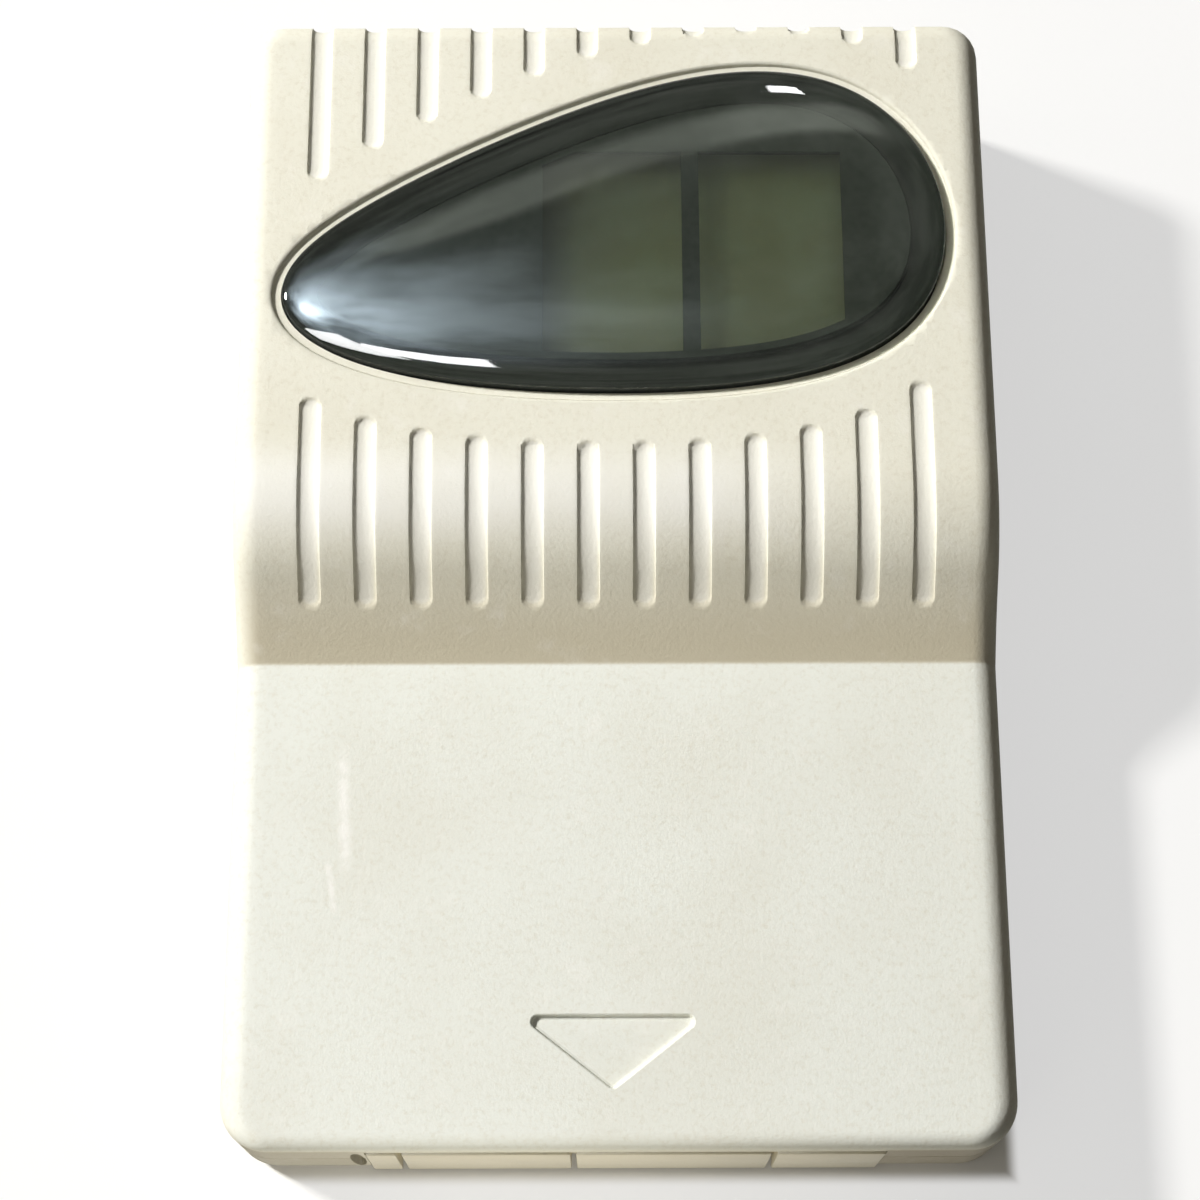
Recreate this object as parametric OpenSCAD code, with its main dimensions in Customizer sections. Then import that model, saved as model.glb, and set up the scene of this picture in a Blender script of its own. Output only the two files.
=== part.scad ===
// Plug-in memory card for a games console, lying on its back.
// Origin: middle of the back. X is to the right, Y points from the connector end to the handle end.

/* [Case] */
// Width of the case
card_w = 42; // [40:0.5:44]
// Length from the face of the contact block to the handle end
card_l = 64; // [62:0.5:68]
// Thickness of the flat plate that enters the console
card_t = 8; // [7.6:0.1:8.6]
// Thickness of the handle
handle_t = 12.5; // [12:0.1:13.2]
// Wall thickness of both shells
wall_t = 1.6; // [1.4:0.1:1.8]
// Thickness of the roof of the handle
roof_t = 2; // [1.9:0.1:2.3]
// Height of the parting line above the back
split_z = 4; // [3.6:0.1:4.4]
// Radius of the long upper edges and of the upper edge of the handle end
edge_r = 1.45; // [1:0.05:1.8]
// Radius of the upper edge of the connector end
nose_r = 0.85; // [0.4:0.05:1.2]
// Radius of the lower edge all round
back_r = 1; // [0.5:0.1:1.3]
// Corner radius at the connector end, seen from above
nose_corner_r = 2.6; // [2:0.1:3.4]
// Corner radius at the handle end, seen from above
handle_corner_r = 2; // [1.9:0.1:3]

/* [Ramp] */
// Length of the flat top of the handle
handle_flat_l = 27.8; // [27:0.1:29]
// Radius of the rounded brow above the ramp
brow_r = 8.8; // [7:0.1:10]
// Steepest angle of the ramp
ramp_angle = 38; // [34:1:42]
// Radius of the hollow lower part of the ramp
hollow_r = 22; // [18:1:30]

/* [Grip grooves] */
// Number of grooves in each row
groove_count = 12; // [8:1:12]
// Distance between neighbouring grooves
groove_pitch = 3.05; // [2.8:0.05:3.1]
// Width of a groove
groove_w = 1.25; // [0.9:0.05:1.5]
// Depth of a groove
groove_d = 0.35; // [0.3:0.05:0.6]
// Distance between the window and the ends of the grooves
groove_gap = 3.05; // [2.6:0.05:3.4]
// Distance between the foot of the ramp and the lower ends of the grooves
groove_foot_gap = 2.9; // [2.2:0.1:3.6]
// Height of the parting line's clear strip below the grooves on the handle end
groove_end_gap = 1.6; // [1:0.1:3]

/* [Window] */
// Length of the lens
lens_l = 37.1; // [35:0.1:37.6]
// Height of the lens at its middle
lens_h = 18; // [16:0.1:18.4]
// Distance from the handle end to the middle of the lens
lens_from_end = 14.2; // [14:0.1:15]
// Share by which the right end is fuller than the left end
lens_taper = 0.36; // [0.2:0.01:0.4]
// Share by which both ends are fuller than an ellipse
lens_fullness = 0.12; // [0:0.01:0.15]
// Rise of the lens's axis at its right end
lens_tilt = 3.2; // [2:0.1:3.4]
// Sag of the lens's axis at both ends
lens_bow = 1.15; // [0.6:0.05:1.3]
// Return of the lens's axis at its ends
lens_hook = 1.25; // [0.8:0.05:1.4]
// Height of the dome above the rim of the lens
lens_dome = 1; // [0.6:0.1:1.4]
// Height of the lens's rim above the case
lens_rim = 0.15; // [0.1:0.05:0.3]
// Depth of the lens's seat
lens_seat_d = 1.3; // [1.2:0.05:1.4]
// Width of the ledge that carries the lens
lens_ledge_w = 1.4; // [1.2:0.1:1.6]
// Width of the step inside the lens's rim
lens_step_w = 1.9; // [1.7:0.1:2.1]
// Depth of the hollow under the lens
lens_hollow_d = 0.6; // [0.4:0.05:0.7]
// Width of the gutter around the lens
gutter_w = 0.55; // [0.4:0.05:0.7]
// Depth of the gutter around the lens
gutter_d = 0.4; // [0.3:0.05:0.5]

/* [Display] */
// Width of one pane of the display
pane_w = 8.2; // [7.5:0.05:8.4]
// Height of a pane
pane_h = 12.4; // [11:0.1:12.4]
// Distance between the lens's middle and the panes' upper edge
pane_rise = 5.6; // [5.6:0.1:6.1]
// Width of the bar between the two panes
pane_bar_w = 0.75; // [0.5:0.05:1]
// Distance between the lens's middle and the middle of the bar
pane_offset_x = 4.2; // [4:0.1:4.6]
// Distance between the lens's outline and the rounded corner of a pane
pane_inset = 2.9; // [2.7:0.1:3.2]
// Thickness of the printed mask behind the lens
mask_t = 0.3; // [0.2:0.05:0.4]
// Width of the display glass
lcd_w = 20.4; // [19.4:0.1:20.8]
// Height of the display's front glass
lcd_h = 14.4; // [14:0.1:14.6]
// Thickness of each display glass
lcd_glass_t = 1.1; // [0.7:0.1:1.2]
// Thickness of the polariser and of the reflector
film_t = 0.2; // [0.15:0.05:0.25]
// Width of the front glass's contact ledge
lcd_ledge_w = 2.2; // [2:0.1:2.6]
// Gap between the display and the roof of the handle
lcd_roof_gap = 0.1; // [0.05:0.05:0.2]
// Wall thickness of the display holder
holder_t = 1; // [0.8:0.1:1.1]
// Thickness of the rubber contact strip
zebra_t = 1.4; // [1.2:0.1:1.5]

/* [Electronics] */
// Thickness of the circuit board
board_t = 1; // [0.8:0.1:1.2]
// Gap between the circuit board and the side walls
board_gap = 0.6; // [0.4:0.1:1]
// Height of the circuit board's underside above the back
board_z = 3.8; // [3.7:0.05:4]
// Length of the memory chip's body
memory_l = 13.4; // [12:0.1:14]
// Width of the memory chip's body
memory_w = 8; // [7:0.1:8.4]
// Side of the controller chip's square body
controller_s = 9; // [8:0.1:9.6]
// Distance between the board's left edge and the memory chip
memory_from_edge = 1.6; // [1:0.1:3]
// Distance between the board's right edge and the controller chip
controller_from_edge = 4.3; // [2:0.1:5]
// Distance between the connector end and the middle of the chips
chip_from_nose = 23; // [22.8:0.1:24]
// Distance between the connector end and the row of small components
component_from_nose = 15.6; // [15.4:0.1:16]
// Thickness of both chips
chip_t = 1.1; // [0.9:0.05:1.2]

/* [Contacts] */
// Left side of the contact block
block_x0 = -13.3; // [-13.6:0.1:-13]
// Right side of the contact block
block_x1 = 14; // [13.8:0.1:14.4]
// Height of the contact block's face
block_h = 6; // [5.4:0.1:6.2]
// Height of the block's lower edge above the back
block_z = 0.4; // [0.3:0.1:0.6]
// Distance that the contact block stands out of the case
block_out = 0.15; // [0.05:0.05:0.3]
// Length of the contact window
window_l = 11; // [10:0.5:13]
// Width of the slots in the contact block's face
slot_w = 0.3; // [0.2:0.05:0.5]
// Width of a contact strip
contact_w = 1.8; // [1.4:0.1:2]
// Distance between neighbouring contact strips of a group
contact_pitch = 3; // [2.8:0.05:3.05]
// Thickness of the contact strips
contact_t = 0.3; // [0.2:0.05:0.4]
// Depth of the contact strips above the back
contact_z = 2.3; // [2:0.1:2.4]

/* [Fastening] */
// Distance between the sides of the case and the screws
screw_from_side = 3.8; // [3.6:0.05:4]
// Distance between the handle end and the screws
screw_from_end = 3.5; // [3.3:0.1:3.6]
// Radius of the screw's shank
screw_r = 0.85; // [0.7:0.05:0.9]
// Radius of the screw's head
screw_head_r = 1.6; // [1.4:0.05:1.7]
// Height of the screw's head
screw_head_t = 1.2; // [1:0.1:1.3]
// Depth of the screw's head below the back
screw_sink = 0.6; // [0.3:0.1:0.8]
// Length of the screw under its head
screw_l = 6.6; // [5:0.2:7]
// Radius of the screw bosses
boss_r = 2.1; // [1.8:0.05:2.2]
// Height of the joint between the screw bosses of the two shells
boss_z = 5; // [4.6:0.1:5.4]
// Radius of the guide pins that locate the board
pin_r = 1; // [0.8:0.05:1.2]
// Radius of the shoulder over a guide pin
shoulder_r = 1.9; // [1.7:0.05:2.2]
// Distance between the sides of the case and the guide pins
pin_from_side = 4.6; // [4.4:0.1:5]
// Distance between the connector end and the guide pins
pin_from_nose = 15.5; // [15.4:0.1:16]

/* [Fits] */
// Gap round a piece that drops into its seat
drop_gap = 0.1; // [0.05:0.01:0.15]
// Gap round a screw or a pin in its hole
pin_gap = 0.05; // [0.02:0.01:0.1]
// Height of the tongue that locates the two shells
tongue_h = 0.8; // [0.5:0.1:1]
// Thickness of the tongue
tongue_t = 0.7; // [0.5:0.05:0.8]

/* [Arrow] */
// Width of the moulded arrow
arrow_w = 8.9; // [8:0.1:10]
// Length of the moulded arrow
arrow_l = 3.9; // [3:0.1:5]
// Depth of the moulded arrow
arrow_d = 0.3; // [0.2:0.05:0.4]
// Distance from the connector end to the arrow's point
arrow_from_nose = 3.2; // [2.5:0.1:5]
// Corner radius of the arrow
arrow_r = 0.35; // [0.2:0.05:0.6]

/* [Hidden] */

// Facets of true round features, and steps of the computed curves
round_fn = 48;
corner_steps = 9;
edge_steps = 5;
lens_steps = 72;
overlap = 0.5;

// The two ends of the case along Y
end_y = card_l / 2;
face_y = -card_l / 2;
nose_y = face_y + block_out;

// Ramp: the brow turns down to the steepest angle, then the hollow eases to the plate
ramp_top_y = end_y - handle_flat_l;
steep_y = ramp_top_y - brow_r * sin(ramp_angle);
steep_z = handle_t - brow_r * (1 - cos(ramp_angle));
foot_angle = acos(cos(ramp_angle) + (steep_z - card_t) / hollow_r);
foot_y = steep_y - hollow_r * (sin(ramp_angle) - sin(foot_angle));
ramp_steps = 4;
brow_steps = 7;

// A point of the ramp's hollow or of the brow at a slope, moved out from the surface: [y, z, slope]
function hollow_point(slope, out = 0) = [
    steep_y - hollow_r * (sin(ramp_angle) - sin(slope)) - out * sin(slope),
    steep_z - hollow_r * (cos(slope) - cos(ramp_angle)) + out * cos(slope), slope];
function brow_point(slope, out = 0) = [
    ramp_top_y - (brow_r + out) * sin(slope),
    handle_t - brow_r + (brow_r + out) * cos(slope), slope];
// The whole ramp from its foot to the flat top of the handle
function ramp_curve(out = 0) = concat(
    [for (k = [0 : ramp_steps - 1])
        hollow_point(foot_angle + (ramp_angle - foot_angle) * k / ramp_steps, out)],
    [for (k = [0 : brow_steps]) brow_point(ramp_angle * (1 - k / brow_steps), out)]);

// Places that follow the sides of the case
board_w = card_w - 2 * wall_t - 2 * board_gap;
screw_x = card_w / 2 - screw_from_side;
pin_x = card_w / 2 - pin_from_side;

// Heights of the parts that are stacked on the board and under the roof
board_top_z = board_z + board_t;
lcd_top_z = handle_t - roof_t - lcd_roof_gap;
front_glass_z = lcd_top_z - film_t - lcd_glass_t;
rear_glass_z = front_glass_z - lcd_glass_t;
lens_base_z = handle_t - lens_seat_d;
mask_z = lens_base_z + lens_hollow_d - mask_t;
plate_ceiling_z = card_t - wall_t;

// Middle of the lens, and the display behind it
lens_y = end_y - lens_from_end;
bar_x = pane_offset_x;
pane_top_y = lens_y + pane_rise;
lcd_margin = (lcd_w - 2 * pane_w - pane_bar_w) / 2;
lcd_x0 = bar_x - lcd_w / 2;
lcd_y1 = pane_top_y + lcd_margin / 2;
lcd_y0 = lcd_y1 - lcd_h;
zebra_margin = 1;
film_inset = 0.3;
zebra_x0 = lcd_x0 + zebra_margin;
zebra_x1 = lcd_x0 + lcd_w - zebra_margin;
zebra_y0 = lcd_y0 + film_inset;

// Outline of the case seen from above, moved in by a distance, counter-clockwise
function corner_arc(x, y, r, start) =
    [for (k = [0 : corner_steps]) let (a = start + 90 * k / corner_steps)
        [x + r * cos(a), y + r * sin(a)]];
function case_outline(inset = 0) = let (
    x = card_w / 2 - inset,
    nose = max(nose_corner_r - inset, 0.2),
    tail = max(handle_corner_r - inset, 0.2))
    concat(
        corner_arc(x - nose, nose_y + inset + nose, nose, 270),
        corner_arc(x - tail, end_y - inset - tail, tail, 0),
        corner_arc(-x + tail, end_y - inset - tail, tail, 90),
        corner_arc(-x + nose, nose_y + inset + nose, nose, 180));

// Outline of the lens: an ellipse that is fuller at its right end and whose axis is bent, moved out
// along its normal by a distance
function lens_point(t, out = 0) = let (
    c = cos(t),
    s = sin(t),
    full = 1 + lens_taper * c + lens_fullness * c * c,
    x = lens_l / 2 * c,
    y = lens_tilt * c - lens_bow * c * c - lens_hook * c * c * c + lens_h / 2 * s * full,
    dx = -lens_l / 2 * s,
    dy = -(lens_tilt - 2 * lens_bow * c - 3 * lens_hook * c * c) * s
        + lens_h / 2 * (c * full - s * s * (lens_taper + 2 * lens_fullness * c)),
    n = norm([dx, dy]))
    [x + out * dy / n, lens_y + y - out * dx / n];
function lens_outline(out = 0) = [for (k = [0 : lens_steps - 1]) lens_point(360 * k / lens_steps, out)];

// Faces of a stack of closed rings with as many points each, closed by its first and last ring. Seen
// from the last ring, the points of each ring run counter-clockwise.
function stack_faces(rings, count) = concat(
    [[for (i = [0 : count - 1]) i]],
    [for (r = [0 : rings - 2], i = [0 : count - 1]) let (a = r * count + i, b = r * count + (i + 1) % count)
        [a, a + count, b]],
    [for (r = [0 : rings - 2], i = [0 : count - 1]) let (a = r * count + i, b = r * count + (i + 1) % count)
        [b, a + count, b + count]],
    [[for (i = [count - 1 : -1 : 0]) (rings - 1) * count + i]]);
module ring_stack(rings) {
    polyhedron(points = [for (ring = rings) each ring], faces = stack_faces(len(rings), len(rings[0])),
        convexity = 6);
}

module bar(x0, x1, y0, y1, z0, z1) {
    translate([x0, y0, z0]) cube([x1 - x0, y1 - y0, z1 - z0]);
}
module post(x, y, r, z0, z1) {
    translate([x, y, z0]) cylinder(r = r, h = z1 - z0, $fn = round_fn);
}
module case_prism(inset, z0, z1) {
    translate([0, 0, z0]) linear_extrude(z1 - z0) polygon(case_outline(inset));
}
module lens_prism(out, z0, z1) {
    translate([0, 0, z0]) linear_extrude(z1 - z0) polygon(lens_outline(out));
}
// A side view drawn as [y, z] points and carried along X
module side_prism(x0, x1, points) {
    translate([x0, 0, 0]) rotate([90, 0, 90]) linear_extrude(x1 - x0) polygon(points);
}

// Cross-sections of the front shell, from the connector end to the handle end: [y, half width, top]
function nose_stations() = [for (k = [0 : corner_steps]) let (
    a = 90 * k / corner_steps,
    d = nose_corner_r * (1 - cos(a)),
    dip = nose_r - sqrt(max(0, nose_r * nose_r - pow(max(0, nose_r - d), 2))))
    [nose_y + d, card_w / 2 - nose_corner_r * (1 - sin(a)), card_t - dip]];
function handle_stations() = [for (k = [corner_steps : -1 : 0]) let (
    a = 90 * k / corner_steps,
    d = handle_corner_r * (1 - cos(a)),
    dip = edge_r - sqrt(max(0, edge_r * edge_r - pow(max(0, edge_r - d), 2))))
    [end_y - d, card_w / 2 - handle_corner_r * (1 - sin(a)), handle_t - dip]];
function front_stations() = concat(
    nose_stations(),
    [for (p = ramp_curve()) [p[0], card_w / 2, p[1]]],
    handle_stations());
// One cross-section: straight sides and rounded upper corners, from lower right by way of the left
function front_section(s) = concat(
    [[s[1], s[0], split_z], [-s[1], s[0], split_z]],
    [for (k = [0 : edge_steps]) let (a = 90 * k / edge_steps)
        [-s[1] + edge_r * (1 - cos(a)), s[0], s[2] - edge_r * (1 - sin(a))]],
    [for (k = [0 : edge_steps]) let (a = 90 + 90 * k / edge_steps)
        [s[1] - edge_r * (1 + cos(a)), s[0], s[2] - edge_r * (1 - sin(a))]]);

// A groove is a round bar with round ends that follows the surface; its axis lies above the surface
groove_r = (groove_w * groove_w / 4 + groove_d * groove_d) / (2 * groove_d);
groove_lift = groove_r - groove_d;
groove_sides = 10;
groove_x = [for (i = [0 : groove_count - 1]) (i - (groove_count - 1) / 2) * groove_pitch];
// Where the outline of the window, moved out by the groove gap, crosses a groove
gap_outline = [for (k = [0 : lens_steps]) lens_point(360 * k / lens_steps, groove_gap)];
upper_edge = [for (k = [lens_steps / 2 : -1 : 0]) gap_outline[k]];
lower_edge = [for (k = [lens_steps / 2 : lens_steps]) gap_outline[k]];
function upper_start(x) = lookup(x, upper_edge);
function lower_start(x) = lookup(x, lower_edge);
// Path points are [y, z, direction]: the direction is the angle of travel in the Y-Z plane
function upper_path(x) = let (
    arc_y = end_y - edge_r,
    arc_r = edge_r + groove_lift,
    start_y = upper_start(x) + groove_r,
    turn = start_y > arc_y ? max(acos(min(1, (start_y - arc_y) / arc_r)), 20) : 90)
    concat(
        start_y < arc_y ? [[start_y, handle_t + groove_lift, 0]] : [],
        [for (k = [0 : 4]) let (a = turn * (1 - k / 4))
            [arc_y + arc_r * cos(a), handle_t - edge_r + arc_r * sin(a), a - 90]],
        [[end_y + groove_lift, split_z + groove_end_gap + groove_r, -90]]);
function lower_path(x) = concat(
    [[lower_start(x) - groove_r, handle_t + groove_lift, 180]],
    [for (k = [0 : 5]) let (p = brow_point(ramp_angle * k / 5, groove_lift)) [p[0], p[1], 180 + p[2]]],
    [let (
        d = (foot_y + groove_foot_gap + groove_r - steep_y) / cos(ramp_angle),
        p = brow_point(ramp_angle, groove_lift))
        [p[0] + d * cos(ramp_angle), p[1] + d * sin(ramp_angle), 180 + ramp_angle]]);
function groove_ring(x, p, along, r) = [for (j = [0 : groove_sides - 1]) let (
    a = -360 * (j + 0.5) / groove_sides, h = r * sin(a)) [
        x + r * cos(a),
        p[0] + along * cos(p[2]) - h * sin(p[2]),
        p[1] + along * sin(p[2]) + h * cos(p[2])]];
module groove(x, path) {
    first = path[0];
    last = path[len(path) - 1];
    ring_stack(concat(
        [for (a = [75, 50, 25]) groove_ring(x, first, -groove_r * sin(a), groove_r * cos(a))],
        [for (p = path) groove_ring(x, p, 0, groove_r)],
        [for (a = [25, 50, 75]) groove_ring(x, last, groove_r * sin(a), groove_r * cos(a))]));
}

// Corners of the moulded arrow, each rounded by an arc
arrow_y = face_y + arrow_from_nose;
function arrow_outline() = let (
    lean = atan2(arrow_l, arrow_w / 2),
    half = 90 - lean,
    corners = [[0, arrow_y + arrow_r / sin(half), 180 + half, 360 - half],
        [arrow_w / 2 - arrow_r / tan(lean / 2), arrow_y + arrow_l - arrow_r, -half, 90],
        [-arrow_w / 2 + arrow_r / tan(lean / 2), arrow_y + arrow_l - arrow_r, 90, 180 + half]])
    [for (c = corners, k = [0 : 4]) let (a = c[2] + (c[3] - c[2]) * k / 4)
        [c[0] + arrow_r * cos(a), c[1] + arrow_r * sin(a)]];

// Places of the fastenings
screw_y = end_y - screw_from_end;
pin_y = face_y + pin_from_nose;
head_seat_z = screw_head_t + screw_sink;
screw_tip_z = head_seat_z + screw_l;

// Moulded housing over the display and the board
module front_shell() {
    inner_side = concat(
        [[end_y - wall_t, split_z - overlap], [nose_y + wall_t, split_z - overlap],
            [nose_y + wall_t, plate_ceiling_z]],
        [for (p = ramp_curve(-roof_t)) if (p[1] > plate_ceiling_z) [p[0], p[1]]],
        [[end_y - wall_t, handle_t - roof_t]]);
    color("ivory") difference() {
        union() {
            difference() {
                ring_stack([for (s = front_stations()) front_section(s)]);
                intersection() {
                    side_prism(-card_w / 2, card_w / 2, inner_side);
                    case_prism(wall_t, split_z - overlap, handle_t);
                }
            }
            for (side = [-1, 1]) {
                post(side * screw_x, screw_y, boss_r, boss_z, handle_t - roof_t + overlap);
                post(side * pin_x, pin_y, shoulder_r, board_top_z, plate_ceiling_z + overlap);
                post(side * pin_x, pin_y, pin_r, wall_t + overlap, board_top_z + overlap);
            }
        }
        // Rebate for the rear shell's tongue
        difference() {
            case_prism(wall_t - tongue_t - drop_gap, split_z - overlap, split_z + tongue_h + drop_gap);
            case_prism(wall_t + overlap, split_z - 2 * overlap, split_z + tongue_h + overlap);
        }
        // Pilot holes, and room for the screw posts of the rear shell
        for (side = [-1, 1]) {
            post(side * screw_x, screw_y, screw_r + pin_gap, boss_z - overlap, screw_tip_z + overlap);
            post(side * screw_x, screw_y, boss_r + drop_gap, split_z - overlap, boss_z);
        }
        // Seat of the lens: gutter, seat and the opening inside the ledge
        lens_prism(gutter_w, handle_t - gutter_d, handle_t + overlap);
        lens_prism(drop_gap, lens_base_z, handle_t + overlap);
        lens_prism(-lens_ledge_w, handle_t - roof_t - overlap, handle_t + overlap);
        for (x = groove_x) {
            groove(x, upper_path(x));
            groove(x, lower_path(x));
        }
        translate([0, 0, card_t - arrow_d]) linear_extrude(arrow_d + overlap) polygon(arrow_outline());
        // Notch for the contact block
        bar(block_x0 - drop_gap, block_x1 + drop_gap, nose_y - overlap, nose_y + wall_t + overlap,
            split_z - overlap, block_z + block_h + drop_gap);
    }
}

// Tray with screw posts, board supports and the contact window
module rear_shell() {
    ledge_from_pin = 15;
    ledge_from_screw = 10.5;
    ledge_y = [pin_y + ledge_from_pin, screw_y - ledge_from_screw];
    ledge_l = 3;
    ledge_reach = 1.6;
    screw_play = 0.2;
    window_play = 0.6;
    hole_r = 0.33;
    hole_z = 2.6;
    hole_out = 0.65;
    color("ivory") difference() {
        union() {
            difference() {
                ring_stack(concat(
                    [for (k = [0 : edge_steps]) let (a = 90 * k / edge_steps)
                        [for (p = case_outline(back_r * (1 - sin(a)))) [p[0], p[1], back_r * (1 - cos(a))]]],
                    [[for (p = case_outline()) [p[0], p[1], split_z]]]));
                case_prism(wall_t, wall_t, split_z + overlap);
            }
            difference() {
                case_prism(wall_t - tongue_t, split_z - overlap, split_z + tongue_h);
                case_prism(wall_t, split_z - 2 * overlap, split_z + tongue_h + overlap);
            }
            for (side = [-1, 1]) {
                post(side * screw_x, screw_y, boss_r, wall_t - overlap, boss_z);
                post(side * pin_x, pin_y, shoulder_r, wall_t - overlap, board_z);
            }
            // Ledges along the side walls that carry the board
            for (side = [0, 1], y = ledge_y) mirror([side, 0, 0])
                bar(card_w / 2 - wall_t - ledge_reach, card_w / 2 - wall_t + overlap, y, y + ledge_l,
                    wall_t - overlap, board_z);
        }
        for (side = [-1, 1]) {
            post(side * screw_x, screw_y, screw_r + screw_play, -overlap, boss_z + overlap);
            post(side * screw_x, screw_y, screw_head_r + screw_play, -overlap, head_seat_z);
            post(side * pin_x, pin_y, pin_r + pin_gap, wall_t, board_z + overlap);
        }
        // Contact window, open towards the back and the connector end
        bar(block_x0 - drop_gap, block_x1 + drop_gap, nose_y - overlap, face_y + window_l + window_play,
            -overlap, split_z + tongue_h + overlap);
        // Small round hole beside the contact block
        translate([block_x0 - hole_out, nose_y - overlap, hole_z]) rotate([-90, 0, 0])
            cylinder(r = hole_r, h = wall_t + 2 * overlap, $fn = round_fn);
    }
}

// Domed window, hollow underneath
module display_lens() {
    rim_z = handle_t + lens_rim;
    dome_rings = 8;
    dome_power = 2.6;
    crown_share = 0.02;
    middle = [2.5, lens_y];
    outline = lens_outline();
    // Each ring is the outline drawn towards the middle, and its height follows a flattened circle
    function dome_ring(k) = let (a = 90 * k / dome_rings, share = cos(a) * (1 - crown_share) + crown_share)
        [for (p = outline) [middle[0] + (p[0] - middle[0]) * share,
            middle[1] + (p[1] - middle[1]) * share,
            rim_z + lens_dome * sqrt(1 - pow(cos(a), dome_power))]];
    color("darkslategray") difference() {
        ring_stack(concat(
            [[for (p = outline) [p[0], p[1], lens_base_z]]],
            [for (k = [0 : dome_rings]) dome_ring(k)]));
        lens_prism(-lens_step_w, lens_base_z - overlap, lens_base_z + lens_hollow_d);
    }
}

// The two panes of the display, rounded where they come near the window's outline
module pane_area(z0, z1) {
    intersection() {
        union() {
            for (side = [-1, 1]) translate([0, 0, z0])
                bar(bar_x + side * (pane_bar_w + pane_w) / 2 - pane_w / 2,
                    bar_x + side * (pane_bar_w + pane_w) / 2 + pane_w / 2,
                    pane_top_y - pane_h, pane_top_y, 0, z1 - z0);
        }
        lens_prism(-pane_inset, z0 - overlap, z1 + overlap);
    }
}

// Printed frame in the hollow of the lens
module display_mask() {
    color("black") difference() {
        lens_prism(-lens_step_w - drop_gap, mask_z, mask_z + mask_t);
        pane_area(mask_z - overlap, mask_z + mask_t + overlap);
    }
}

module lcd_sheet(y0, z0, t, inset) {
    bar(lcd_x0 + inset, lcd_x0 + lcd_w - inset, y0 + inset, lcd_y1 - inset, z0, z0 + t);
}
module lcd_front_polariser() {
    color("darkolivegreen") lcd_sheet(lcd_y0 + lcd_ledge_w, front_glass_z + lcd_glass_t, film_t, film_inset);
}
module lcd_front_glass() {
    color("lightgray") lcd_sheet(lcd_y0, front_glass_z, lcd_glass_t, 0);
}
module lcd_rear_glass() {
    color("lightgray") lcd_sheet(lcd_y0 + lcd_ledge_w, rear_glass_z, lcd_glass_t, 0);
}
module lcd_reflector() {
    color("silver") lcd_sheet(lcd_y0 + lcd_ledge_w, rear_glass_z - film_t, film_t, film_inset);
}

// Frame that stands on the board and carries the display glass
module display_holder() {
    x0 = lcd_x0 - drop_gap - holder_t;
    x1 = lcd_x0 + lcd_w + drop_gap + holder_t;
    y0 = lcd_y0 - drop_gap - holder_t;
    y1 = lcd_y1 + drop_gap + holder_t;
    shelf_z = rear_glass_z - film_t;
    color("white") difference() {
        bar(x0, x1, y0, y1, board_top_z, front_glass_z + lcd_glass_t);
        bar(x0 + holder_t, x1 - holder_t, y0 + holder_t, y1 - holder_t, front_glass_z, handle_t);
        // Well for the rear glass, and a smaller well that leaves the shelf under it
        bar(x0 + holder_t, x1 - holder_t, lcd_y0 + lcd_ledge_w - drop_gap, y1 - holder_t, shelf_z, handle_t);
        bar(x0 + 2 * holder_t, x1 - 2 * holder_t, lcd_y0 + lcd_ledge_w + holder_t, y1 - 2 * holder_t,
            board_top_z - overlap, handle_t);
        // Slot for the rubber contact strip
        bar(zebra_x0 - drop_gap, zebra_x1 + drop_gap, zebra_y0 - drop_gap, zebra_y0 + zebra_t + drop_gap,
            board_top_z - overlap, handle_t);
    }
}

// Rubber strip that joins the glass to the board
module zebra_strip() {
    color("gray") bar(zebra_x0, zebra_x1, zebra_y0, zebra_y0 + zebra_t, board_top_z, front_glass_z);
}

module circuit_board() {
    board_y0 = nose_y + wall_t + drop_gap;
    board_y1 = screw_y - boss_r - 3 * drop_gap;
    color("darkgreen") difference() {
        bar(-board_w / 2, board_w / 2, board_y0, board_y1, board_z, board_top_z);
        for (side = [-1, 1])
            post(side * pin_x, pin_y, pin_r + drop_gap, board_z - overlap, board_top_z + overlap);
    }
}

// The contact block is divided by the slots in its face
block_y = nose_y + wall_t;
block_back_y = face_y + window_l;
first_slot = 1.73;
slot_x = [block_x0 + first_slot, -2.4, 8.17];
group_x = [(slot_x[0] + slot_x[1]) / 2, (slot_x[1] + slot_x[2]) / 2, (slot_x[2] + block_x1) / 2];
group_count = [3, 3, 2];
contact_x = [for (g = [0 : 2], j = [0 : group_count[g] - 1])
    group_x[g] + (j - (group_count[g] - 1) / 2) * contact_pitch];

module contact_block() {
    ear_w = 1.6;
    ear_wall = 0.3;
    ear_from_wall = 1;
    ear_from_back = 2;
    rib_w = 0.9;
    slot_d = 0.8;
    color("floralwhite") difference() {
        union() {
            bar(block_x0, block_x1, face_y, block_y - drop_gap, block_z, block_z + block_h);
            bar(block_x0, block_x1, block_y - drop_gap - overlap, block_back_y,
                contact_z + contact_t, board_z);
            // Ears that rest on the floor of the rear shell
            bar(block_x0 - ear_w, block_x0 + ear_wall, block_y + ear_from_wall, block_back_y - ear_from_back,
                wall_t, board_z);
            bar(block_x1 - ear_wall, block_x1 + ear_w, block_y + ear_from_wall, block_back_y - ear_from_back,
                wall_t, board_z);
            for (x = [slot_x[1], slot_x[2]])
                bar(x - rib_w / 2, x + rib_w / 2, face_y + slot_d, block_back_y, block_z, board_z);
        }
        for (x = slot_x)
            bar(x - slot_w / 2, x + slot_w / 2, face_y - overlap, face_y + slot_d, -overlap,
                block_z + block_h + overlap);
    }
}

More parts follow.
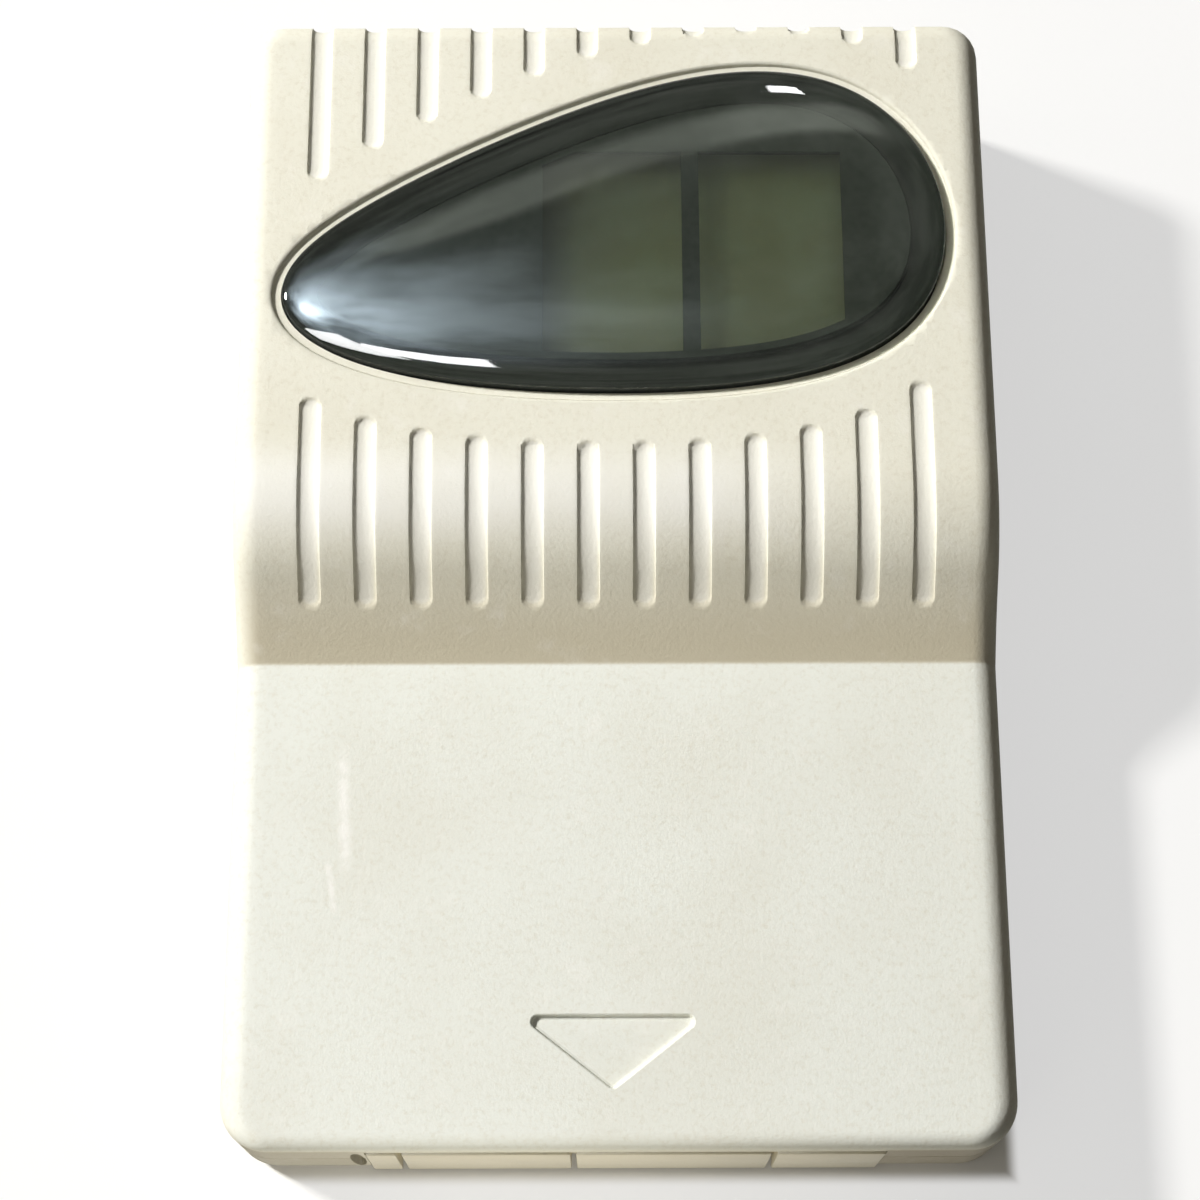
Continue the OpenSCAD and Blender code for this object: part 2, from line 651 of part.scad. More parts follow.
// One contact strip: it lies under the block and turns up behind it to the board
module contact(x) {
    tail = 2;
    strip_y = block_y + drop_gap;
    color("gold") side_prism(x - contact_w / 2, x + contact_w / 2, [
        [strip_y, contact_z],
        [block_back_y + contact_t, contact_z],
        [block_back_y + contact_t, board_z - contact_t],
        [block_back_y + contact_t + tail, board_z - contact_t],
        [block_back_y + contact_t + tail, board_z],
        [block_back_y, board_z],
        [block_back_y, contact_z + contact_t],
        [strip_y, contact_z + contact_t]]);
}
module contact_1() { contact(contact_x[0]); }
module contact_2() { contact(contact_x[1]); }
module contact_3() { contact(contact_x[2]); }
module contact_4() { contact(contact_x[3]); }
module contact_5() { contact(contact_x[4]); }
module contact_6() { contact(contact_x[5]); }
module contact_7() { contact(contact_x[6]); }
module contact_8() { contact(contact_x[7]); }

// Rows of components on the board
chip_y = face_y + chip_from_nose;
component_y = face_y + component_from_nose;
memory_x = -board_w / 2 + memory_from_edge + memory_l / 2;
controller_x = board_w / 2 - controller_from_edge - controller_s / 2;
capacitor_x = [-8.5, -4.5, -0.5];
resistor_x = [3, 6, 9];
crystal_from_glass = 6.2;
crystal_from_lens = 5.8;
crystal_place = [lcd_x0 - crystal_from_glass, lens_y - crystal_from_lens];
chip_lift = 0.1;
lead_pitch = 1;

// A row of bent leads along X, on the side of a chip that faces +Y
module lead_row(side_l, y) {
    count = floor(side_l / lead_pitch) - 1;
    lead_t = 0.15;
    root = 0.3;
    knee = 0.4;
    toe = 1;
    top = board_top_z + chip_t / 2;
    for (i = [0 : count - 1])
        side_prism((i - count / 2 + 0.25) * lead_pitch, (i - count / 2 + 0.75) * lead_pitch, [
            [y - root, top],
            [y - root, top - lead_t],
            [y + root, top - lead_t],
            [y + knee, board_top_z],
            [y + toe, board_top_z],
            [y + toe, board_top_z + lead_t],
            [y + knee + lead_t, board_top_z + lead_t],
            [y + knee, top]]);
}
module memory_chip() {
    color("dimgray") translate([memory_x, chip_y, 0]) {
        bar(-memory_l / 2, memory_l / 2, -memory_w / 2, memory_w / 2, board_top_z + chip_lift,
            board_top_z + chip_t);
        for (turn = [0, 180]) rotate([0, 0, turn]) lead_row(memory_l, memory_w / 2);
    }
}
module controller_chip() {
    color("dimgray") translate([controller_x, chip_y, 0]) {
        bar(-controller_s / 2, controller_s / 2, -controller_s / 2, controller_s / 2,
            board_top_z + chip_lift, board_top_z + chip_t);
        for (turn = [0, 90, 180, 270])
            rotate([0, 0, turn]) lead_row(controller_s, controller_s / 2);
    }
}

// Epoxy drop over the display's driver chip
module display_driver() {
    drop_r = 4;
    drop_h = 1.5;
    ball_r = (drop_r * drop_r + drop_h * drop_h) / (2 * drop_h);
    color("black") translate([bar_x, lens_y, board_top_z]) intersection() {
        translate([0, 0, drop_h - ball_r]) sphere(r = ball_r, $fn = round_fn);
        cylinder(r = drop_r + 1, h = drop_h + 1, $fn = round_fn);
    }
}

// Flat oval can of the crystal on its base
module crystal() {
    can_l = 10.2;
    can_w = 3.7;
    can_h = 3.2;
    flange_w = 0.4;
    flange_t = 0.5;
    color("silver") translate([crystal_place[0], crystal_place[1], board_top_z]) {
        linear_extrude(flange_t) crystal_oval(can_l + 2 * flange_w, can_w + 2 * flange_w);
        linear_extrude(can_h) crystal_oval(can_l, can_w);
    }
}
module crystal_oval(l, w) {
    turn_steps = 10;
    rotate(90) polygon([for (end = [-1, 1], k = [0 : turn_steps]) let (a = 90 * end + 180 * k / turn_steps)
        [-end * (l - w) / 2 + w / 2 * cos(a), w / 2 * sin(a)]]);
}

// Chip components have a ceramic body between two metal ends
module chip_component(x, y, l, w, t) {
    end_l = l / 5;
    body_inset = 0.03;
    bar(x - (l - end_l) / 2, x + (l - end_l) / 2, y - w / 2 + body_inset, y + w / 2 - body_inset,
        board_top_z, board_top_z + t - body_inset);
    for (side = [-1, 1])
        bar(x + side * (l - end_l) / 2 - end_l / 2, x + side * (l - end_l) / 2 + end_l / 2,
            y - w / 2, y + w / 2, board_top_z, board_top_z + t);
}
module capacitor(x) { color("tan") chip_component(x, component_y, 3.2, 1.6, 1.2); }
module capacitor_1() { capacitor(capacitor_x[0]); }
module capacitor_2() { capacitor(capacitor_x[1]); }
module capacitor_3() { capacitor(capacitor_x[2]); }
module resistor(x) { color("black") chip_component(x, component_y, 2, 1.25, 0.5); }
module resistor_1() { resistor(resistor_x[0]); }
module resistor_2() { resistor(resistor_x[1]); }
module resistor_3() { resistor(resistor_x[2]); }

// Self-tapping screw with a cross recess, driven from the back
module screw(side) {
    recess_w = 0.45;
    recess_reach = 0.6 * screw_head_r;
    tip_l = 1;
    color("silver") translate([side * screw_x, screw_y, head_seat_z]) difference() {
        union() {
            translate([0, 0, -screw_head_t]) cylinder(r = screw_head_r, h = screw_head_t, $fn = round_fn);
            cylinder(r = screw_r, h = screw_l - tip_l, $fn = round_fn);
            translate([0, 0, screw_l - tip_l])
                cylinder(r1 = screw_r, r2 = screw_r / 3, h = tip_l, $fn = round_fn);
        }
        for (turn = [0, 90]) rotate([0, 0, turn])
            bar(-recess_reach, recess_reach, -recess_w / 2, recess_w / 2,
                -screw_head_t - overlap, -screw_head_t / 2);
    }
}
module screw_left() { screw(-1); }
module screw_right() { screw(1); }

front_shell();
rear_shell();
display_lens();
display_mask();
lcd_front_polariser();
lcd_front_glass();
lcd_rear_glass();
lcd_reflector();
display_holder();
zebra_strip();
circuit_board();
contact_block();
contact_1();
contact_2();
contact_3();
contact_4();
contact_5();
contact_6();
contact_7();
contact_8();
memory_chip();
controller_chip();
display_driver();
crystal();
capacitor_1();
capacitor_2();
capacitor_3();
resistor_1();
resistor_2();
resistor_3();
screw_left();
screw_right();
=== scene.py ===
"""Looks of a plug-in memory card for a games console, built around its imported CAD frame.

Lengths in the property groups are metres. Inside the shape functions and for textures they are
millimetres, and put_mesh turns them to metres. X is to the card's right, Y points to the handle end and
Z goes up from the back to the window.
"""
import functools
import math

import bpy
import numpy as np
from bpy.props import FloatProperty, IntProperty, PointerProperty, StringProperty
from mathutils import Matrix, Vector


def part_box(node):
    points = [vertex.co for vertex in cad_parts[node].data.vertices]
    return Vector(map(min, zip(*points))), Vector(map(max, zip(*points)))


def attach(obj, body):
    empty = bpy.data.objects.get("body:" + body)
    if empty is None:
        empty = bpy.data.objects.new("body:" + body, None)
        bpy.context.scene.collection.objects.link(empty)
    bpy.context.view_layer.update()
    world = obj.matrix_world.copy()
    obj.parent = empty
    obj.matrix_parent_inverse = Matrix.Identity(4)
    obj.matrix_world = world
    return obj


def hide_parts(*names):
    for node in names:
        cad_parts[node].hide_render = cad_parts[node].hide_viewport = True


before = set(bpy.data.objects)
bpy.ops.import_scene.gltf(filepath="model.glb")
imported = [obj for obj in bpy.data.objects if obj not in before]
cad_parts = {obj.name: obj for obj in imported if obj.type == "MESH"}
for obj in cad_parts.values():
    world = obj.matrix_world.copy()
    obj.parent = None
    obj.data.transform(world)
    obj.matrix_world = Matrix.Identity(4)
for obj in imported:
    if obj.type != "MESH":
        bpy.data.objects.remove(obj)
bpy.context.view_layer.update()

bl_info = {
    "name": "Console memory card",
    "version": (1, 0, 0),
    "blender": (4, 5, 0),
    "location": "3D View > Sidebar > Card",
    "description": "Housing, window and finishes of a plug-in memory card",
    "category": "Object",
}

MM = 0.001
BODY = "root"


def cad_box(node):
    """The two corners of a CAD node's box in millimetres."""
    return [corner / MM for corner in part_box(node)]


FRONT_BOX, REAR_BOX, LENS_BOX, BLOCK_BOX, BOARD_BOX, SCREW_BOX = (cad_box(node) for node in (
    "front_shell", "rear_shell", "display_lens", "contact_block", "circuit_board", "screw_right"))
SCREW_X, SCREW_Y = ((SCREW_BOX[0][axis] + SCREW_BOX[1][axis]) / 2 for axis in (0, 1))
BLOCK_ENDS = (-13.3, 14)  # left and right end of the contact block's face
PAST = 1  # how far a cutter reaches past what it cuts
INTO = 0.5  # how far one form reaches into the next, or stops short of it
SHARP_ANGLE = 32  # degrees: smooth shading breaks at sharper edges
USUAL_SETTINGS = {"Math": {"operation": "MULTIPLY"}, "MapRange": {"interpolation_type": "SMOOTHSTEP"},
                  "Mix": {"data_type": "RGBA"}}


def length(name, description, millimetres):
    """A length property whose default is given in millimetres."""
    return FloatProperty(name=name, description=description, default=millimetres * MM, unit="LENGTH",
                         precision=5)


def colour(name, description, value):
    """A colour property that holds an sRGB hex value."""
    return StringProperty(name=name, description=description, default=value)


class CardCaseSizes(bpy.types.PropertyGroup):
    plate_thickness: length("Plate thickness", "Thickness of the flat plate that enters the console", 8)
    wall: length("Wall", "Wall thickness of both shells", 1.6)
    roof: length("Roof", "Thickness of the handle's roof", 2)
    parting_height: length("Parting height", "Height of the parting line above the back", 4)
    parting_chamfer: length("Parting chamfer", "Chamfer on both sides of the parting line", 0.12)
    side_fillet: length("Side fillet", "Radius of the long upper edges", 1.45)
    nose_fillet: length("Nose fillet", "Radius of the upper edge of the connector end", 0.85)
    back_fillet: length("Back fillet", "Radius of the lower edge all round", 1)
    nose_corner: length("Nose corner", "Corner radius at the connector end, seen from above", 2.6)
    handle_corner: length("Handle corner", "Corner radius at the handle end, seen from above", 2)


class CardFasteningSizes(bpy.types.PropertyGroup):
    screw_head: length("Screw head", "Radius of a screw's head", 1.6)
    screw_head_height: length("Screw head height", "Height of a screw's head", 1.2)
    screw_shank: length("Screw shank", "Radius of a screw's shank", 0.85)
    screw_play: length("Screw play", "Room round a screw in the rear shell", 0.2)
    close_play: length("Close play", "Room round a screw or a pin where it fits closely", 0.05)
    thread_pitch: length("Thread pitch", "Pitch of the screws' threads", 0.8)
    thread_depth: length("Thread depth", "Depth of the screws' threads", 0.16)
    post: length("Post", "Radius of the screw posts", 2.1)
    post_top: length("Post top", "Height of the rear shell's screw posts", 5)
    pin: length("Pin", "Radius of the front shell's guide pins", 1)
    pin_shoulder: length("Pin shoulder", "Radius of the shoulders round the guide pins", 1.9)
    pin_from_side: length("Pin from side", "Distance from the side to a guide pin", 4.6)
    pin_from_nose: length("Pin from nose", "Distance from the connector end to a guide pin", 15.5)
    tongue_height: length("Tongue height", "Height of the tongue that locates the shells", 0.8)
    tongue: length("Tongue", "Thickness of the tongue", 0.7)
    vent: length("Vent", "Half width of the vent opening in the connector end", 0.4)
    vent_low: length("Vent low", "Height of the lower end of the vent opening", 1)
    vent_high: length("Vent high", "Height of the upper end of the vent opening", 6)
    vent_from_block: length("Vent from block", "Distance from the contact block to the vent opening", 0.6)
    bevel: length("Bevel", "Width of the small bevels on moulded edges", 0.09)


class CardRampSizes(bpy.types.PropertyGroup):
    handle_flat: length("Handle flat", "Length of the flat top of the handle", 27.8)
    brow: length("Brow", "Radius of the rounded brow above the ramp", 8.8)
    hollow: length("Hollow", "Radius of the hollow lower part of the ramp", 22)
    angle: FloatProperty(name="Angle", description="Steepest angle of the ramp",
                         default=math.radians(38), subtype="ANGLE")


class CardGrooveSizes(bpy.types.PropertyGroup):
    count: IntProperty(name="Count", description="Number of grooves in each row", default=12, min=1)
    pitch: length("Pitch", "Distance between neighbouring grooves", 3.05)
    width: length("Width", "Width of a groove", 1.25)
    depth: length("Depth", "Depth of a groove", 0.24)
    ramp_share: FloatProperty(name="Ramp share", description="Share of that depth that is left on the ramp",
                              default=0.6)
    window_gap: length("Window gap", "Distance between the window and the ends of the grooves", 3.05)
    foot_gap: length("Foot gap", "Distance between the ramp's foot and the lower grooves", 2.65)
    end_gap: length("End gap", "Clear strip between the parting line and the upper grooves", 1.6)


class CardWindowSizes(bpy.types.PropertyGroup):
    width: length("Width", "Length of the lens along the card's width", LENS_BOX[1].x - LENS_BOX[0].x)
    height: length("Height", "Height of the lens at its middle", 18)
    from_end: length("From end", "Distance from the handle end to the middle of the lens", 14.2)
    taper: FloatProperty(name="Taper", description="Share by which the right end is fuller", default=0.36)
    fullness: FloatProperty(name="Fullness", description="Share by which both ends are fuller", default=0.12)
    tilt: length("Tilt", "Rise of the lens's axis at its right end", 3.2)
    bow: length("Bow", "Sag of the lens's axis at both ends", 1.15)
    hook: length("Hook", "Return of the lens's axis at its ends", 1.25)
    dome: length("Dome", "Height of the dome above the lens's rim", 1)
    seat_depth: length("Seat depth", "Depth of the lens's seat", 1.3)
    ledge: length("Ledge", "Width of the ledge that carries the lens", 1.4)
    step: length("Step", "Width of the step inside the lens's rim", 1.9)
    hollow: length("Hollow", "Depth of the hollow under the lens", 0.6)
    fit: length("Fit", "Gap between the lens and its seat", 0.1)
    gutter_width: length("Gutter width", "Width of the gutter around the lens", 0.55)
    gutter_depth: length("Gutter depth", "Depth of the gutter around the lens", 0.25)


class CardDisplaySizes(bpy.types.PropertyGroup):
    left: length("Left", "Left end of the left pane", -4.05)
    bar_left: length("Bar left", "Left side of the bar between the panes", 3.76)
    bar_right: length("Bar right", "Right side of the bar between the panes", 4.74)
    right: length("Right", "Right end of the right pane", 12.75)
    top: length("Top", "Distance from the lens's middle up to the panes' top", 5.6)
    inset: length("Inset", "Distance from the lens's outline to the panes' lower edge", 2.4)
    mask_inset: length("Mask inset", "Distance from the lens's outline to the mask's edge", 2)
    film_edge: length("Film edge", "Distance from the glass's edge to the film's", 0.3)


class CardArrowSizes(bpy.types.PropertyGroup):
    width: length("Width", "Width of the moulded arrow", 9.9)
    place: length("Place", "Place of the arrow's point across the card", -0.3)
    length: length("Length", "Length of the moulded arrow", 3.9)
    depth: length("Depth", "Depth of the moulded arrow", 0.3)
    from_nose: length("From nose", "Distance from the connector end to the arrow's point", 3.2)
    corner: length("Corner", "Corner radius of the arrow", 0.35)


class CardFinishColours(bpy.types.PropertyGroup):
    ivory: colour("Ivory plastic", "Moulded case", "#ECEADA")
    ivory_plate: colour("Plate plastic", "Part of the case that the console keeps from the light", "#EBEDE4")
    # Painted light: this colour pales the groove floors and the ramp's brow
    ivory_painted_light: colour("Clean plastic", "Bottom of the grooves, out of reach of hands", "#F5F4EB")
    # Painted shade: this colour darkens the connector end beside the contact block
    ivory_painted_shade: colour("Rubbed dirt", "Dirt on the connector end beside the contact block", "#948670")
    # This colour gives random cloudy tone and dirt specks, and painted shade along the ramp's foot
    ivory_dirt_and_shade: colour("Handled plastic", "Grime along the ramp's foot, and fine specks", "#C9BFA4")
    ivory_scuff: colour("Scuffed plastic", "Whitened scratches", "#FBFAF4")
    smoke: colour("Smoke lens", "Tint of the window", "#8F958A")
    print_black: colour("Screen print", "Printed frame behind the lens", "#131B13")
    pane: colour("Display film", "Unlit liquid crystal panes", "#B6B196")
    # Painted shade: this colour darkens the panes towards their upper left
    pane_painted_shade: colour("Aged display film", "Panes where the crystal has darkened", "#55553F")
    glass: colour("Display glass", "Edges of the glass sheets", "#C9D4C4")
    contact_white: colour("Contact block", "Moulded contact block", "#E2DBC4")
    laminate: colour("Solder resist", "Green circuit board", "#16532F")
    gold: colour("Gold plating", "Contact strips", "#E2B95B")
    epoxy: colour("Moulding epoxy", "Chip bodies", "#1B1B1D")
    steel: colour("Zinc plating", "Screws and the crystal's can", "#B9BBBD")
    ceramic: colour("Capacitor ceramic", "Small capacitors", "#A08559")
    holder: colour("Holder plastic", "Moulded holder of the display", "#DEDED6")
    rubber: colour("Conductive silicone", "Contact strip of the display", "#4A4A50")
    floor: colour("Floor", "Plain pale floor", "#F6F5F1")


class CardSettings(bpy.types.PropertyGroup):
    case: PointerProperty(type=CardCaseSizes)
    fastening: PointerProperty(type=CardFasteningSizes)
    ramp: PointerProperty(type=CardRampSizes)
    groove: PointerProperty(type=CardGrooveSizes)
    window: PointerProperty(type=CardWindowSizes)
    display: PointerProperty(type=CardDisplaySizes)
    arrow: PointerProperty(type=CardArrowSizes)
    finish: PointerProperty(type=CardFinishColours)


def sizes(group):
    """The lengths of a property group in millimetres, and its other values as they are."""
    values = {}
    for name in group.bl_rna.properties.keys():
        if name in ("rna_type", "name"):
            continue
        value = getattr(group, name)
        values[name] = value / MM if group.bl_rna.properties[name].unit == "LENGTH" else value
    return type("Sizes", (), values)


# Surfaces

def put_mesh(name, points, faces, sharp_angle=SHARP_ANGLE):
    """Makes an object from points in millimetres and faces, shaded smooth up to the sharp angle."""
    mesh = bpy.data.meshes.new(name)
    mesh.from_pydata(points * MM, [], faces)
    mesh.validate()
    piece = bpy.data.objects.new(name, mesh)
    bpy.context.scene.collection.objects.link(piece)
    shade(piece, sharp_angle)
    return piece


def shade(piece, sharp_angle=SHARP_ANGLE):
    """Smooth shading that breaks at edges sharper than the angle in degrees."""
    piece.data.shade_smooth()
    piece.data.set_sharp_from_angle(angle=math.radians(sharp_angle))


def at_height(points, z):
    """The points of an outline at one height."""
    return np.column_stack([points, np.full(len(points), z)])


def numbered(grid):
    """The number of each point of a grid, an array of rows by columns by 3."""
    return np.arange(grid[..., 0].size).reshape(grid.shape[:2])


def between(low, high):
    """Quads from each ring of point numbers to the one above it."""
    return np.stack([low, np.roll(low, -1, 1), np.roll(high, -1, 1), high], -1).reshape(-1, 4).tolist()


def closed_stack(rings):
    """Points and faces of a solid through rings of points, an array of rings by points by 3, closed at
    its first and last ring. Each ring runs counter-clockwise seen from the last ring."""
    index = numbered(rings)
    faces = [*between(index[:-1], index[1:]), index[0, ::-1].tolist(), index[-1].tolist()]
    return rings.reshape(-1, 3), faces


def eased(share):
    """A share that is held between 0 and 1 and starts and ends softly: share^2 (3 - 2 share)."""
    share = np.clip(share, 0, 1)
    return share * share * (3 - 2 * share)


def apply_modifiers(piece):
    """Makes what a piece's modifiers give its mesh."""
    graph = bpy.context.evaluated_depsgraph_get()
    mesh = bpy.data.meshes.new_from_object(piece.evaluated_get(graph))
    if len(mesh.polygons) < 4:
        raise RuntimeError(f"the modifiers left nothing of {piece.name}")
    old = piece.data
    piece.modifiers.clear()
    piece.data = mesh
    bpy.data.meshes.remove(old)
    mesh.name = piece.name
    shade(piece)


def cut(piece, *shapes, operation="DIFFERENCE"):
    """Takes shapes out of a closed piece, or adds them. A shape is points and faces, or a piece that
    isn't needed any more."""
    cutters = [put_mesh("cutter", *shape) if isinstance(shape, tuple) else shape for shape in shapes]
    for cutter in cutters:
        step = piece.modifiers.new("cut", "BOOLEAN")
        step.operation = operation
        step.solver = "MANIFOLD"
        step.object = cutter
    apply_modifiers(piece)
    for cutter in cutters:
        bpy.data.objects.remove(cutter)


def ease_edges(piece, width):
    """Bevels the sharp edges of a piece by a width in millimetres."""
    step = piece.modifiers.new("ease", "BEVEL")
    step.width = width * MM
    step.segments = 2
    step.limit_method = "ANGLE"
    step.angle_limit = math.radians(35)
    apply_modifiers(piece)


def box_solid(low, high):
    """A plain block between two corners, for cuts and flat sheets."""
    x, y, z = np.array([low, high], float).T
    ring = np.array([[x[0], y[0]], [x[1], y[0]], [x[1], y[1]], [x[0], y[1]]])
    return closed_stack(np.stack([at_height(ring, h) for h in z]))


def turned_pair(x, y, profile, steps=64):
    """Two solids turned about vertical lines at both sides of the card: profile holds (radius, height)
    from the bottom up."""
    radius, height = np.array(profile, float).T[..., None]
    angle = np.arange(steps) * 2 * np.pi / steps
    return [closed_stack(np.stack([side * x + radius * np.cos(angle), y + radius * np.sin(angle),
                                   np.broadcast_to(height, (len(profile), steps))], -1)) for side in (-1, 1)]


def vent_solid(parts, wall, steps=40):
    """The vent opening: an oval seen from the connector end, carried through the wall."""
    angle = np.arange(steps) * 2 * np.pi / steps
    x = BLOCK_ENDS[0] - parts.vent_from_block + parts.vent * np.cos(angle)
    z = (parts.vent_low + parts.vent_high) / 2 - (parts.vent_high - parts.vent_low) / 2 * np.sin(angle)
    return closed_stack(np.stack([np.column_stack([x, np.full_like(x, REAR_BOX[0].y + y), z])
                                  for y in (-PAST, wall + 0.3)]))


# Outlines: each is a function of a distance that moves it out, and gives an array of points by 2

def arc(centre, radius, start, end, steps):
    """Points of an arc between two angles in degrees."""
    angle = np.radians(np.linspace(start, end, steps))
    return np.column_stack([centre[0] + radius * np.cos(angle), centre[1] + radius * np.sin(angle)])


def case_outline(case, out=0.0, steps=24):
    """Rounded rectangle of the case, counter-clockwise from the nose's right corner."""
    half = REAR_BOX[1].x
    nose, tail = REAR_BOX[0].y, REAR_BOX[1].y
    low, high = case.nose_corner, case.handle_corner
    return np.concatenate([
        arc((half - low, nose + low), low + out, 270, 360, steps),
        arc((half - high, tail - high), high + out, 0, 90, steps),
        arc((high - half, tail - high), high + out, 90, 180, steps),
        arc((low - half, nose + low), low + out, 180, 270, steps)])


def lens_outline(window, out=0.0, steps=288):
    """Ellipse that is fuller at its right end and whose axis is bent, moved out along its normal:
    x = a cos t, y = tilt c - bow c^2 - hook c^3 + b s (1 + taper c + fullness c^2), c = cos t, s = sin t."""
    t = np.arange(steps) * 2 * np.pi / steps
    c, s = np.cos(t), np.sin(t)
    full = 1 + window.taper * c + window.fullness * c * c
    a, b = window.width / 2, window.height / 2
    x = a * c
    y = window.tilt * c - window.bow * c**2 - window.hook * c**3 + b * s * full
    dx = -a * s
    dy = (-(window.tilt - 2 * window.bow * c - 3 * window.hook * c * c) * s
          + b * (c * full - s * s * (window.taper + 2 * window.fullness * c)))
    size = np.hypot(dx, dy)
    middle = REAR_BOX[1].y - window.from_end
    return np.column_stack([x + out * dy / size, middle + y - out * dx / size])


def arrow_outline(arrow, out=0.0, steps=9):
    """Triangle that points to the connector end, each corner an arc, moved out by a distance."""
    point = BLOCK_BOX[0].y + arrow.from_nose
    lean = math.atan2(arrow.length, arrow.width / 2)
    half = 90 - math.degrees(lean)
    side = arrow.width / 2 - arrow.corner / math.tan(lean / 2)
    top = point + arrow.length - arrow.corner
    radius = arrow.corner + out
    return np.concatenate([
        arc((arrow.place, point + arrow.corner / math.sin(math.radians(half))), radius,
            180 + half, 360 - half, steps),
        arc((arrow.place + side, top), radius, -half, 90, steps),
        arc((arrow.place - side, top), radius, 90, 180 + half, steps)])


def outline_rings(outline, group, profile):
    """One outline moved out by each profile point's first value, at the height of its second value."""
    return np.stack([at_height(outline(group, out), z) for out, z in profile])


def outline_solid(outline, group, profile):
    """A solid whose cross-sections are one outline moved out, by a profile from the bottom up."""
    return closed_stack(outline_rings(outline, group, profile))


def outline_band(outline, group, profile):
    """A closed band carried along an outline: profile holds its cross-section (distance out, height),
    counter-clockwise seen with the outward direction to the right."""
    rings = outline_rings(outline, group, profile)
    index = numbered(rings)
    return rings.reshape(-1, 3), between(index, np.roll(index, -1, 0))


# The case's own form

